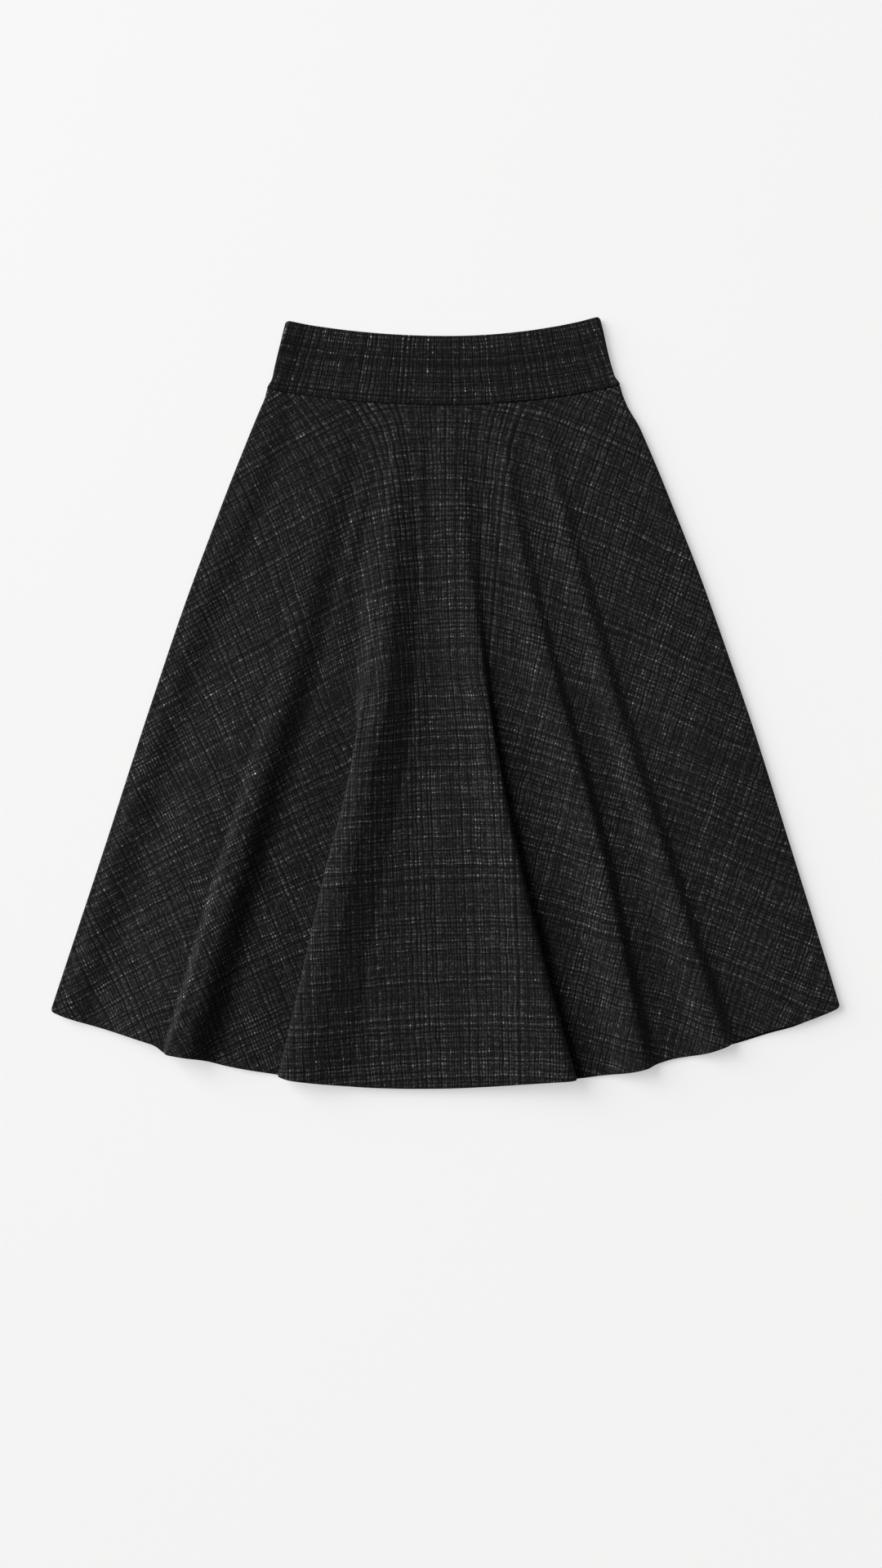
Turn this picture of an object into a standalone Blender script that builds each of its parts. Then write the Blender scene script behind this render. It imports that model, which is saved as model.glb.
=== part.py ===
"""A half-circle midi skirt laid flat, front over back, with its flutes falling from the waistband.

Everything is placed on a fan. A place on it is a distance from the fan's centre, which lies past
the waist, and an angle from the centre front, positive towards +X. The waist seam and the hem are
slightly bowed arcs about that centre. Z is up, and the skirt lies on Z = 0.

A skirt panel is drawn as one section for each step from the waist seam to the hem. A section runs
from one side seam to the other, over soft lines (ridges, hollows) and round turns, where the cloth
doubles back under a fold's edge.
"""

import math
from collections import namedtuple

import bmesh
import bpy
import numpy as np

MM = 0.001

# Cloth and fit
CLOTH = 1.6 * MM  # one layer of the skirt's cloth
BAND_CLOTH = 2.4 * MM  # the waistband, two layers with a stiffener between
GAP = 0.3 * MM  # between pieces, at seams and from layer to layer

# The fan's centre, in the skirt's frame
CENTRE_X = 2.8 * MM
CENTRE_Y = 874.6 * MM

# Arcs about the fan's centre: the distance at centre front, and what it gains 20 degrees to each side
Arc = namedtuple("Arc", "middle left right")
BAND_TOP = Arc(484.7 * MM, 14.2 * MM, 7.6 * MM)
WAIST_SEAM = Arc(557.5 * MM, 17.3 * MM, 11.1 * MM)
HEM = Arc(1281.0 * MM, -9.6 * MM, -16.3 * MM)
ARC_REACH = 20.0

# How far each hem lies below its arc, as the folds let it down and draw it up
Drop = namedtuple("Drop", "angle length")
FRONT_HEM = (
    Drop(-20.0, 0.4 * MM),
    Drop(-18.2, -0.4 * MM),
    Drop(-15.6, -2.9 * MM),
    Drop(-14.1, -2.7 * MM),
    Drop(-13.5, 1.7 * MM),
    Drop(-12.1, 0.0 * MM),
    Drop(-10.8, 1.8 * MM),
    Drop(-8.1, 1.2 * MM),
    Drop(-7.4, 2.9 * MM),
    Drop(-4.8, 3.1 * MM),
    Drop(-0.5, 0.9 * MM),
    Drop(4.2, -1.7 * MM),
    Drop(6.6, -0.3 * MM),
    Drop(8.4, 1.2 * MM),
    Drop(9.5, 0.4 * MM),
    Drop(10.8, -2.3 * MM),
    Drop(12.2, -0.3 * MM),
    Drop(13.4, -1.9 * MM),
    Drop(14.6, -3.7 * MM),
    Drop(16.2, -2.4 * MM),
    Drop(17.4, 0.6 * MM),
    Drop(18.6, 0.9 * MM),
    Drop(20.0, -0.4 * MM),
)
BACK_HEM = (
    Drop(-20.0, -1.2 * MM),
    Drop(-15.5, -4.0 * MM),
    Drop(-13.8, -4.0 * MM),
    Drop(-11.0, -0.6 * MM),
    Drop(-4.0, 0.8 * MM),
    Drop(3.0, -1.4 * MM),
    Drop(5.2, 0.0 * MM),
    Drop(6.8, 0.7 * MM),
    Drop(8.8, 0.6 * MM),
    Drop(10.8, -3.2 * MM),
    Drop(12.9, -2.2 * MM),
    Drop(13.8, -0.7 * MM),
    Drop(15.4, -0.4 * MM),
    Drop(17.0, 2.1 * MM),
    Drop(18.2, 0.4 * MM),
    Drop(20.0, -1.4 * MM),
)

# The two side seams: the angle of each at distances from the fan's centre
Side = namedtuple("Side", "distance left right")
SIDES = (
    Side(495 * MM, -19.78, 18.92),
    Side(535 * MM, -19.33, 18.50),
    Side(547 * MM, -19.19, 18.47),
    Side(557 * MM, -19.37, 18.74),
    Side(567 * MM, -19.27, 18.68),
    Side(580 * MM, -19.35, 18.74),
    Side(610 * MM, -19.50, 19.25),
    Side(690 * MM, -19.73, 19.65),
    Side(800 * MM, -19.83, 19.87),
    Side(930 * MM, -19.69, 19.80),
    Side(1100 * MM, -19.43, 19.48),
    Side(1282 * MM, -19.27, 19.16),
)

# The side seam's rolled edge, where front and back meet
SEAM_LEVEL = 3.4 * MM  # the height where the front's edge and the back's edge meet
FRONT_ROLL = 2.4 * MM
STAND = 0.6 * MM  # the upright stretch where the two edges meet
SIDE_HOLLOW = 22.0 * MM  # from the band's edge in to where it lies flat

REST = CLOTH + GAP + CLOTH / 2  # the middle of a front layer that lies on the back
BACK_REST = CLOTH / 2
BAND_FRONT_REST = BAND_CLOTH + GAP + BAND_CLOTH / 2
BAND_BACK_REST = BAND_CLOTH / 2

# A turn's softest bend where the fold is open, and the least reach of a bend
SOFT_BEND = 14.0 * MM
BEND_REACH = 4.0 * MM
OPEN_BEND = 0.8  # an open fold's bends, as a share of the largest that fit
CLOSED_LAP = 20.0 * MM  # the lap from which a fold lies closed, with its layers level
OPEN_LAP = 10.0 * MM  # the flank from which a fold's foot is as soft as its crest
FOOT = 4.0 * MM  # from a turn to where the cloth in front of it is flat
OUTER_STEPS, INNER_STEPS = 5, 3
SPAN_STEPS = 2

# Shares of the way from the waist seam to the hem at which each fold is given
DOWN = (0.0, 0.1, 0.4, 0.55, 0.7, 1.0)
LEFT, RIGHT = -1, 1

# Line: a ridge, a hollow or a flat. Its angle and its height over the back, in mm, at each share.
# Turn: a fold's edge that faces left or right. low and high are the heights of the cloth beside
# it and of its crest, and lap is how far the cloth doubles back under it: less than 0 is a flank
# that many mm wide which still shows. inner is the radius of the bend at the lap's end.
Line = namedtuple("Line", "name angles heights")
Turn = namedtuple("Turn", "name facing angles low high lap inner")
FRONT_FOLDS = (
    Line(
        "left_seam_roll",
        angles=(-17.9, -17.8, -18.75, -18.75, -18.7, -18.5),
        heights=(3.0, 5.0, 5.6, 6.2, 6.6, 6.6),
    ),
    Line(
        "left_seam_hollow",
        angles=(-16.2, -15.9, -17.2, -17.3, -17.3, -17.2),
        heights=(1.2, 2.0, 2.4, 2.4, 2.4, 2.4),
    ),
    Line(
        "left_swell",
        angles=(-15.0, -14.5, -14.7, -15.0, -15.2, -15.3),
        heights=(1.2, 2.8, 5.8, 7.0, 7.8, 8.0),
    ),
    Turn(
        "left_flute",
        LEFT,
        angles=(-13.0, -12.1, -11.9, -12.3, -12.75, -13.4),
        low=(1.2, 3.4, 8.2, 9.8, 10.6, 10.8),
        high=(1.3, 3.6, 10.5, 14.6, 19.0, 23.2),
        lap=(-14, -18, -18, -15, -14, -11),
        inner=1.5 * MM,
    ),
    Line(
        "left_flute_crest",
        angles=(-11.4, -10.8, -11.05, -11.5, -11.9, -12.55),
        heights=(1.3, 3.6, 10.5, 14.6, 19.0, 23.2),
    ),
    Line(
        "left_valley",
        angles=(-9.5, -8.7, -9.25, -9.95, -10.4, -11.1),
        heights=(0.6, 0.8, 0.6, 0.4, 0.3, 0.3),
    ),
    Line(
        "left_gore",
        angles=(-9.0, -8.25, -8.4, -8.6, -9.0, -9.7),
        heights=(0.6, 1.2, 1.8, 2.0, 2.2, 2.5),
    ),
    Turn(
        "centre_left_edge",
        LEFT,
        angles=(-6.6, -6.4, -5.85, -6.2, -7.0, -8.0),
        low=(0.6, 1.2, 0.8, 0.3, 0.2, 0.0),
        high=(0.7, 4.0, 11.8, 16.2, 17.5, 17.0),
        lap=(-12, -21, -19, 14, 52, 150),
        inner=1.5 * MM,
    ),
    Line(
        "centre_left_crest",
        angles=(-5.5, -5.3, -4.75, -5.4, -6.1, -7.1),
        heights=(0.7, 5.2, 15.2, 18.5, 19.0, 17.5),
    ),
    Turn(
        "centre_left_lip",
        RIGHT,
        angles=(-4.6, -4.15, -3.75, -4.5, -5.2, -6.2),
        low=(0.6, 1.4, 2.6, 4.2, 6.0, 6.6),
        high=(0.7, 5.0, 15.2, 18.0, 18.0, 15.5),
        lap=(-14, -22, -30, -36, -35, -42),
        inner=1.5 * MM,
    ),
    Line(
        "centre_left_rise",
        angles=(-1.9, -2.0, -0.8, -1.6, -2.3, -3.0),
        heights=(0.6, 0.7, 1.0, 3.2, 5.2, 5.6),
    ),
    Line(
        "centre_ridge",
        angles=(-0.2, -0.1, 0.6, 0.8, 0.8, 0.6),
        heights=(0.7, 3.8, 4.6, 5.6, 6.8, 7.4),
    ),
    Line(
        "centre_right_rise",
        angles=(0.6, 0.6, 1.3, 1.9, 2.1, 2.7),
        heights=(0.7, 4.0, 6.4, 7.8, 9.2, 11.4),
    ),
    Line(
        "centre_right_crest",
        angles=(1.4, 1.3, 1.85, 2.6, 3.45, 5.0),
        heights=(0.7, 3.4, 8.8, 12.2, 15.2, 18.4),
    ),
    Turn(
        "centre_right_edge",
        RIGHT,
        angles=(2.2, 2.2, 2.75, 3.45, 4.35, 6.1),
        low=(0.6, 0.8, 0.6, 0.2, 0.0, 0.0),
        high=(0.7, 3.2, 9.4, 13.4, 17.0, 20.4),
        lap=(-14, -17, -8, 18, 42, 85),
        inner=2.6 * MM,
    ),
    Line(
        "first_right_foot",
        angles=(4.2, 4.3, 5.1, 5.8, 6.8, 7.6),
        heights=(0.6, 1.0, 1.0, 0.9, 0.8, 0.7),
    ),
    Line(
        "first_right_crest",
        angles=(5.5, 5.6, 7.05, 7.95, 8.5, 8.95),
        heights=(0.7, 3.0, 8.2, 10.6, 12.2, 13.4),
    ),
    Turn(
        "first_right_flute",
        RIGHT,
        angles=(6.4, 6.45, 7.8, 8.65, 9.2, 9.65),
        low=(0.6, 0.8, 1.2, 1.2, 1.2, 1.0),
        high=(0.7, 3.2, 8.7, 11.2, 13.0, 14.2),
        lap=(-15, -14, -13, -14, -15, -18),
        inner=1.5 * MM,
    ),
    Line(
        "second_right_foot",
        angles=(8.7, 8.9, 9.8, 10.5, 11.2, 11.6),
        heights=(0.6, 0.9, 1.0, 0.9, 0.8, 0.7),
    ),
    Line(
        "second_right_crest",
        angles=(9.7, 9.8, 10.85, 11.45, 12.1, 12.85),
        heights=(0.7, 3.0, 7.4, 8.4, 9.6, 11.6),
    ),
    Turn(
        "second_right_flute",
        RIGHT,
        angles=(10.6, 10.7, 11.65, 12.2, 12.75, 13.6),
        low=(0.6, 0.8, 1.1, 1.0, 0.9, 0.8),
        high=(0.7, 3.4, 8.0, 9.0, 10.2, 12.2),
        lap=(-15, -14, -14, -15, -15, -17),
        inner=1.5 * MM,
    ),
    Line(
        "right_swell",
        angles=(15.6, 15.7, 16.2, 16.5, 16.7, 16.8),
        heights=(1.0, 2.8, 4.2, 4.8, 5.0, 4.8),
    ),
    Line(
        "right_seam_hollow",
        angles=(17.2, 17.3, 18.1, 18.2, 18.1, 18.0),
        heights=(1.4, 2.6, 3.8, 4.4, 4.6, 4.6),
    ),
)

# Where the back lifts off the surface, under the front's flutes: soft grooves in its underside
Lift = namedtuple("Lift", "name angles heights half_width")
BACK_LIFTS = (
    Lift(
        "left_flute",
        angles=(-11.7, -11.6, -11.9, -12.2, -12.5, -12.8),
        heights=(0, 0.5, 3.5, 5.0, 6.5, 8.0),
        half_width=20 * MM,
    ),
    Lift(
        "centre",
        angles=(0.0, 0.0, 0.7, 0.3, -0.2, 0.45),
        heights=(0, 1.0, 3.0, 3.5, 3.5, 3.0),
        half_width=18 * MM,
    ),
    Lift(
        "first_right",
        angles=(5.6, 5.6, 6.8, 7.7, 8.3, 8.9),
        heights=(0, 0.3, 2.5, 3.5, 4.5, 6.0),
        half_width=15 * MM,
    ),
    Lift(
        "second_right",
        angles=(9.8, 9.8, 10.8, 11.4, 12.1, 12.9),
        heights=(0, 0.5, 2.5, 3.0, 4.0, 5.0),
        half_width=15 * MM,
    ),
)

PANEL_ROWS = 16
BAND_ROWS = 3
BAND_COLUMNS = 24
ROW_SPREAD = 1.15  # over 1, so that rows crowd towards the waist

Finish = namedtuple("Finish", "name colour roughness")
SUITING = Finish("suiting", (0.021, 0.021, 0.022), 0.92)
BAND_SUITING = Finish("band_suiting", (0.015, 0.015, 0.016), 0.92)


def smooth(stations, values, at, flat_ends=False):
    """The value at a place on a soft curve through the stations, which never overshoots them."""
    stations, values = np.asarray(stations, float), np.asarray(values, float)
    gaps = np.diff(stations)
    steps = np.diff(values) / gaps
    slopes = np.zeros(len(values))
    for i in range(1, len(values) - 1):
        before, after = steps[i - 1], steps[i]
        if before * after > 0:
            slopes[i] = 2 * before * after / (before + after)
    if not flat_ends:
        slopes[0], slopes[-1] = steps[0], steps[-1]
    i = int(np.clip(np.searchsorted(stations, at) - 1, 0, len(gaps) - 1))
    t = (at - stations[i]) / gaps[i]
    rise = (3 - 2 * t) * t * t
    lean = t * (1 - t) * gaps[i]
    return (
        values[i] * (1 - rise)
        + values[i + 1] * rise
        + lean * (slopes[i] * (1 - t) - slopes[i + 1] * t)
    )


def arc(shape, angle):
    """The distance of an arc from the fan's centre at an angle in degrees."""
    gain = shape.left if angle < 0 else shape.right
    return shape.middle + gain * (angle / ARC_REACH) ** 2


def hem_at(drops, angle):
    """The distance of a hem from the fan's centre at an angle in degrees."""
    drop = smooth([d.angle for d in drops], [d.length for d in drops], angle)
    return arc(HEM, angle) + drop


def side_angles(distance):
    """The angles of the left and the right side seam at a distance from the fan's centre."""
    stations = [side.distance for side in SIDES]
    left = smooth(stations, [side.left for side in SIDES], distance)
    right = smooth(stations, [side.right for side in SIDES], distance)
    return left, right


def place(distance, angle, height):
    """A point on the fan, as x, y and z."""
    turned = math.radians(angle)
    x = CENTRE_X + distance * math.sin(turned)
    y = CENTRE_Y - distance * math.cos(turned)
    return x, y, height


def turn_path(edge, facing, low, high, lap, closed_inner):
    """The section of a fold's edge: points (x, z) from its left end to its right end."""
    fall = max(high - low, 0.05 * MM)
    most = fall / 2 if lap > 0 else (lap * lap + fall * fall) / (2 * fall)
    closed = min(1.0, max(0.0, lap / CLOSED_LAP))
    bends = min(SOFT_BEND, most * (OPEN_BEND + (1 - OPEN_BEND) * closed))
    openness = min(1.0, max(0.0, -lap / OPEN_LAP))
    tight = min(closed_inner, bends / 2)
    inner = tight + (bends / 2 - tight) * openness
    outer = bends - inner
    across, down = -lap, fall - bends
    straight = math.sqrt(max(across**2 + down**2 - bends**2, 0.0))
    swing = math.atan2(bends, straight) + math.atan2(down, across)
    length = (outer + inner) * swing + straight

    def along(distance):
        """The point at a distance along the turn, from its crest down to the lower layer."""
        if distance < outer * swing:
            angle = distance / outer
            return outer * math.sin(angle), high - outer + outer * math.cos(angle)
        if distance > length - inner * swing:
            angle = (length - distance) / inner
            return across - inner * math.sin(angle), low + inner - inner * math.cos(angle)
        run = distance - outer * swing
        x = outer * math.sin(swing) + run * math.cos(swing)
        return x, high - outer + outer * math.cos(swing) - run * math.sin(swing)

    outer_reach = max(outer * swing, BEND_REACH)
    inner_reach = max(inner * swing, BEND_REACH)
    stops = [outer_reach * i / OUTER_STEPS for i in range(OUTER_STEPS + 1)]
    stops += [length - inner_reach * (INNER_STEPS - i) / INNER_STEPS for i in range(INNER_STEPS + 1)]
    start = edge - facing * outer
    points = [(start + facing * x, z) for x, z in map(along, stops)]
    return points if facing == RIGHT else points[::-1]


def span(knots):
    """Points (x, z) after the first knot, on the soft curve through the knots, level at both ends."""
    xs, zs = zip(*knots)
    points = []
    for i in range(len(xs) - 1):
        for step in range(1, SPAN_STEPS + 1):
            x = xs[i] + (xs[i + 1] - xs[i]) * step / SPAN_STEPS
            points.append((x, smooth(xs, zs, x, flat_ends=True)))
    return points


def side_roll(edge, inward, seam, level, steps=3):
    """The rolled edge at a side seam, from the seam's height round to level, as points (x, z)."""
    rise = math.copysign(STAND, level - seam)
    radius = level - seam - rise
    points = [(edge, seam)]
    for i in range(steps + 1):
        angle = math.pi / 2 * i / steps
        x = edge + inward * abs(radius) * (1 - math.cos(angle))
        points.append((x, seam + rise + radius * math.sin(angle)))
    return points


def front_section(down):
    """The front panel's section at a share of the way down, as (angle, height) from left to right."""
    distance = WAIST_SEAM.middle + down * (HEM.middle - WAIST_SEAM.middle)
    left, right = side_angles(distance)
    degree = math.radians(distance)
    seam = SEAM_LEVEL + GAP / 2
    path = side_roll(left * degree, 1, seam, seam + STAND + FRONT_ROLL)
    knots = [path[-1]]
    for fold in FRONT_FOLDS:
        x = smooth(DOWN, fold.angles, down) * degree
        if isinstance(fold, Line):
            knots.append((x, REST + smooth(DOWN, fold.heights, down) * MM))
            continue
        low = REST + smooth(DOWN, fold.low, down) * MM
        high = REST + smooth(DOWN, fold.high, down) * MM
        lap = smooth(DOWN, fold.lap, down) * MM
        points = turn_path(x, fold.facing, low, high, lap, fold.inner)
        lower_end = points[-1] if fold.facing == RIGHT else points[0]
        beyond = fold.facing * max(fold.facing * lower_end[0], fold.facing * x)
        foot = (beyond + fold.facing * FOOT, low)
        if fold.facing == LEFT:
            knots.append(foot)
        knots.append(points[0])
        path += span(knots) + points[1:]
        knots = [points[-1]]
        if fold.facing == RIGHT:
            knots.append(foot)
    roll = side_roll(right * degree, -1, seam, seam + STAND + FRONT_ROLL)[::-1]
    path += span(knots + [roll[0]]) + roll[1:]
    return [(x / degree, z) for x, z in path]


def lift_height(offset, height, half_width):
    """The height of a soft ridge at an offset from its line."""
    if abs(offset) >= half_width:
        return 0.0
    return height * math.cos(math.pi / 2 * offset / half_width) ** 2


def back_section(down):
    """The back panel's section at a share of the way down, as (angle, height) from left to right."""
    distance = WAIST_SEAM.middle + down * (HEM.middle - WAIST_SEAM.middle)
    left, right = side_angles(distance)
    degree = math.radians(distance)
    seam = SEAM_LEVEL - GAP / 2
    path = side_roll(left * degree, 1, seam, BACK_REST)
    right_roll = side_roll(right * degree, -1, seam, BACK_REST)[::-1]
    for lift in BACK_LIFTS:
        middle = smooth(DOWN, lift.angles, down) * degree
        height = smooth(DOWN, lift.heights, down) * MM
        start = path[-1][0]
        path.append(((start + middle - lift.half_width) / 2, BACK_REST))
        for i in range(-4, 5):
            offset = lift.half_width * i / 4
            path.append((middle + offset, BACK_REST + lift_height(offset, height, lift.half_width)))
    path.append(((path[-1][0] + right_roll[0][0]) / 2, BACK_REST))
    path += right_roll
    return [(x / degree, z) for x, z in path]


def skirt_rows(section, drops):
    """The rows of points of a skirt panel, from the waist seam to the hem."""
    rows = []
    for i in range(PANEL_ROWS + 1):
        down = (i / PANEL_ROWS) ** ROW_SPREAD
        row = []
        for angle, height in section(down):
            top = arc(WAIST_SEAM, angle) + GAP / 2
            row.append(place(top + down * (hem_at(drops, angle) - top), angle, height))
        rows.append(row)
    return rows


def band_rows(rest, seam, level):
    """The rows of points of one waistband piece, from its top edge to the waist seam."""
    rows = []
    for i in range(BAND_ROWS + 1):
        down = i / BAND_ROWS
        distance = BAND_TOP.middle + down * (WAIST_SEAM.middle - BAND_TOP.middle)
        left, right = side_angles(distance)
        degree = math.radians(distance)
        left_roll = side_roll(left * degree, 1, seam, level)
        right_roll = side_roll(right * degree, -1, seam, level)[::-1]
        path = list(left_roll)
        start, end = left_roll[-1][0], right_roll[0][0]
        for step in range(1, BAND_COLUMNS):
            x = start + (end - start) * step / BAND_COLUMNS
            inside = min(min(x - start, end - x) / SIDE_HOLLOW, 1.0)
            ease = (3 - 2 * inside) * inside**2
            path.append((x, level + (rest - level) * ease))
        path += right_roll
        row = []
        for x, z in path:
            angle = x / degree
            top = arc(BAND_TOP, angle)
            bottom = arc(WAIST_SEAM, angle) - GAP / 2
            row.append(place(top + down * (bottom - top), angle, z))
        rows.append(row)
    return rows


def finish_material(finish):
    """A plain material for one of the skirt's cloths."""
    material = bpy.data.materials.new(finish.name)
    material.use_nodes = True
    shader = material.node_tree.nodes["Principled BSDF"]
    shader.inputs["Base Color"].default_value = (*finish.colour, 1.0)
    shader.inputs["Roughness"].default_value = finish.roughness
    shader.inputs["Metallic"].default_value = 0.0
    return material


def cloth_piece(name, rows, thickness, finish):
    """One cut piece of cloth: the sheet through the rows, with its thickness to both sides."""
    mesh = bpy.data.meshes.new(name)
    sheet = bmesh.new()
    grid = [[sheet.verts.new(point) for point in row] for row in rows]
    for upper, lower in zip(grid, grid[1:]):
        for i in range(len(upper) - 1):
            sheet.faces.new((upper[i], lower[i], lower[i + 1], upper[i + 1]))
    sheet.to_mesh(mesh)
    sheet.free()
    mesh.shade_smooth()
    piece = bpy.data.objects.new(name, mesh)
    bpy.context.scene.collection.objects.link(piece)
    wall = piece.modifiers.new("wall", "SOLIDIFY")
    wall.thickness = thickness
    wall.offset = 0.0
    wall.use_even_offset = True
    piece.data.materials.append(finish_material(finish))
    return piece


def build_skirt():
    """Builds the four pieces: the skirt's front and back, and the waistband's front and back."""
    seam = SEAM_LEVEL + GAP / 2
    cloth_piece("skirt_front", skirt_rows(front_section, FRONT_HEM), CLOTH, SUITING)
    cloth_piece("skirt_back", skirt_rows(back_section, BACK_HEM), CLOTH, SUITING)
    front = band_rows(BAND_FRONT_REST, seam, seam + STAND + FRONT_ROLL)
    cloth_piece("waistband_front", front, BAND_CLOTH, BAND_SUITING)
    back = band_rows(BAND_BACK_REST, SEAM_LEVEL - GAP / 2, BAND_BACK_REST)
    cloth_piece("waistband_back", back, BAND_CLOTH, BAND_SUITING)


for old in list(bpy.data.objects):
    bpy.data.objects.remove(old)
build_skirt()
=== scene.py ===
"""The looks of a half-circle midi skirt that lies flat, front over back, on a pale floor.

A place on the skirt is a distance from the fan's centre, which lies past the waist, and an angle
from the centre front, positive towards +X. The waist seam and the hem are slightly bowed arcs about
that centre. Z is up, and the skirt lies on Z = 0. Sizes are in metres and angles in degrees, unless
a line says otherwise.

Each panel is one closed sheet of cloth. It is drawn as sections from side seam to side seam, which
run over soft ridges and hollows and round the folds' edges, where the cloth doubles back. The
threads are then laid on the sheet, so that the weave turns and bends with the folds.
"""

import logging
import math
from dataclasses import dataclass, field
from enum import Enum
from functools import partial, reduce

import bpy
import numpy as np
from bpy.types import Material, NodeOutputs, NodeSocket, NodeTree, Object
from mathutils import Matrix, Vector


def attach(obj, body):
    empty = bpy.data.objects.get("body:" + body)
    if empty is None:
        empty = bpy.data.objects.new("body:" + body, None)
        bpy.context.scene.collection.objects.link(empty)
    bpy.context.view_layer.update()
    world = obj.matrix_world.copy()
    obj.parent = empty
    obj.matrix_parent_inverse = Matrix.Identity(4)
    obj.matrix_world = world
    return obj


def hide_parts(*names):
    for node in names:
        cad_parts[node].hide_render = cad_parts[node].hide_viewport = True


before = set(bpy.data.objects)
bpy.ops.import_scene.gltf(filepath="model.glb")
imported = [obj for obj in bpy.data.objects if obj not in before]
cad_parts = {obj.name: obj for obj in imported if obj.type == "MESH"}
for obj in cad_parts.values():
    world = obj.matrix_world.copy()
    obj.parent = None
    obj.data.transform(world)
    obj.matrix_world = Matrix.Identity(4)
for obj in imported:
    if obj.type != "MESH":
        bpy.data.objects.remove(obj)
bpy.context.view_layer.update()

MM = 0.001
# The space between two pieces, at the seams and from layer to layer
GAP = 0.3 * MM
# Shares of the way from the waist seam to the hem at which folds and threads are given
DOWN = (0.0, 0.1, 0.4, 0.55, 0.7, 1.0)
# The UV map that holds each point's place on the flat cloth
THREADS = "threads"
SHADER = "Principled BSDF"

Colour = tuple[float, float, float]
Spot = tuple[float, float, float]
# Points from left to right, as (place across or angle, height)
Section = list[tuple[float, float]]

log = logging.getLogger("skirt")


class Facing(Enum):
    """The side that a fold's edge faces."""

    LEFT = -1
    RIGHT = 1


def smooth(stations: tuple, values: tuple, at: float, flat_ends: bool = False) -> float:
    """The value at a place on a soft curve through the stations, which never overshoots them.

    Args:
        stations: The places where the value is given, rising.
        values: The value at each of them.
        at: The place that is asked for.
        flat_ends: Whether the curve is level at both ends.

    Returns:
        The curve's value there.
    """
    gaps = [b - a for a, b in zip(stations, stations[1:])]
    steps = [(b - a) / gap for a, b, gap in zip(values, values[1:], gaps)]
    slopes = [0.0] * len(values)
    for i in range(1, len(values) - 1):
        before, after = steps[i - 1], steps[i]
        if before * after > 0:
            slopes[i] = 2 * before * after / (before + after)
    if not flat_ends:
        slopes[0], slopes[-1] = steps[0], steps[-1]
    i = 0
    while i < len(gaps) - 1 and at > stations[i + 1]:
        i += 1
    t = (at - stations[i]) / gaps[i]
    rise = (3 - 2 * t) * t * t
    lean = t * (1 - t) * gaps[i]
    level = values[i] * (1 - rise) + values[i + 1] * rise
    return level + lean * (slopes[i] * (1 - t) - slopes[i + 1] * t)


def ease(share: float) -> float:
    """A soft step from 0 to 1 as the share goes from 0 to 1."""
    share = min(max(share, 0.0), 1.0)
    return (3 - 2 * share) * share**2


def placed(name: str, data: bpy.types.ID) -> Object:
    """Puts a new object at the scene's origin.

    Args:
        name: The object's name.
        data: Its mesh, light or camera.

    Returns:
        The object.
    """
    thing = bpy.data.objects.new(name, data)
    bpy.context.scene.collection.objects.link(thing)
    return thing


@dataclass(frozen=True)
class Arc:
    """A bowed arc about the fan's centre.

    Attributes:
        middle: Its distance from the centre at centre front.
        left: What that distance gains at the outer angle on the left.
        right: The same on the right.
        outer: The angle from centre front for which both are given.
    """

    middle: float
    left: float
    right: float
    outer: float = 20.0

    def at(self, angle: float) -> float:
        """Its distance from the fan's centre at an angle."""
        gain = self.left if angle < 0 else self.right
        return self.middle + gain * (angle / self.outer) ** 2


@dataclass(frozen=True)
class Drops:
    """How far, in mm, a hem lies below its arc at some angles, as the folds let it down and draw it up."""

    angles: tuple
    lengths: tuple

    def at(self, angle: float) -> float:
        """The drop at an angle."""
        return smooth(self.angles, self.lengths, angle) * MM


@dataclass(frozen=True)
class Fan:
    """The layout that the four pieces share.

    Attributes:
        centre_x: Where the fan's centre lies across the skirt.
        centre_y: Where it lies past the waist.
        band_top: The waistband's upper edge.
        waist_seam: The seam between the waistband and the panels.
        hem: The hem, but for its drops.
        side_distances: Distances from the fan's centre at which the side seams are given.
        left_angles: The left side seam's angle at each of them.
        right_angles: The right side seam's angle at each of them.
    """

    centre_x: float = 2.8 * MM
    centre_y: float = 874.6 * MM
    band_top: Arc = Arc(484.7 * MM, 14.2 * MM, 7.6 * MM)
    waist_seam: Arc = Arc(557.5 * MM, 17.3 * MM, 11.1 * MM)
    hem: Arc = Arc(1281.0 * MM, -9.6 * MM, -16.3 * MM)
    side_distances: tuple = (
        0.495, 0.535, 0.547, 0.557, 0.567, 0.580, 0.610, 0.690, 0.800, 0.930, 1.100, 1.282,
    )
    left_angles: tuple = (
        -19.78, -19.33, -19.19, -19.37, -19.27, -19.35, -19.50, -19.73, -19.83, -19.69, -19.43, -19.27,
    )
    right_angles: tuple = (
        18.92, 18.50, 18.47, 18.74, 18.68, 18.74, 19.25, 19.65, 19.87, 19.80, 19.48, 19.16,
    )

    @property
    def length(self) -> float:
        """From the waist seam to the hem, at centre front."""
        return self.hem.middle - self.waist_seam.middle

    def down_distance(self, down: float) -> float:
        """The distance from the fan's centre, at centre front, at a share of the way to the hem."""
        return self.waist_seam.middle + down * self.length

    def sides(self, distance: float) -> tuple[float, float]:
        """The angles of the left and the right side seam at a distance from the fan's centre."""
        left = smooth(self.side_distances, self.left_angles, distance)
        return left, smooth(self.side_distances, self.right_angles, distance)

    def place(self, distance: float, angle: float, height: float) -> Spot:
        """A point on the fan.

        Args:
            distance: Its distance from the fan's centre.
            angle: Its angle.
            height: Its height over the floor.

        Returns:
            The point in space.
        """
        turned = math.radians(angle)
        x = self.centre_x + distance * math.sin(turned)
        return x, self.centre_y - distance * math.cos(turned), height


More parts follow.
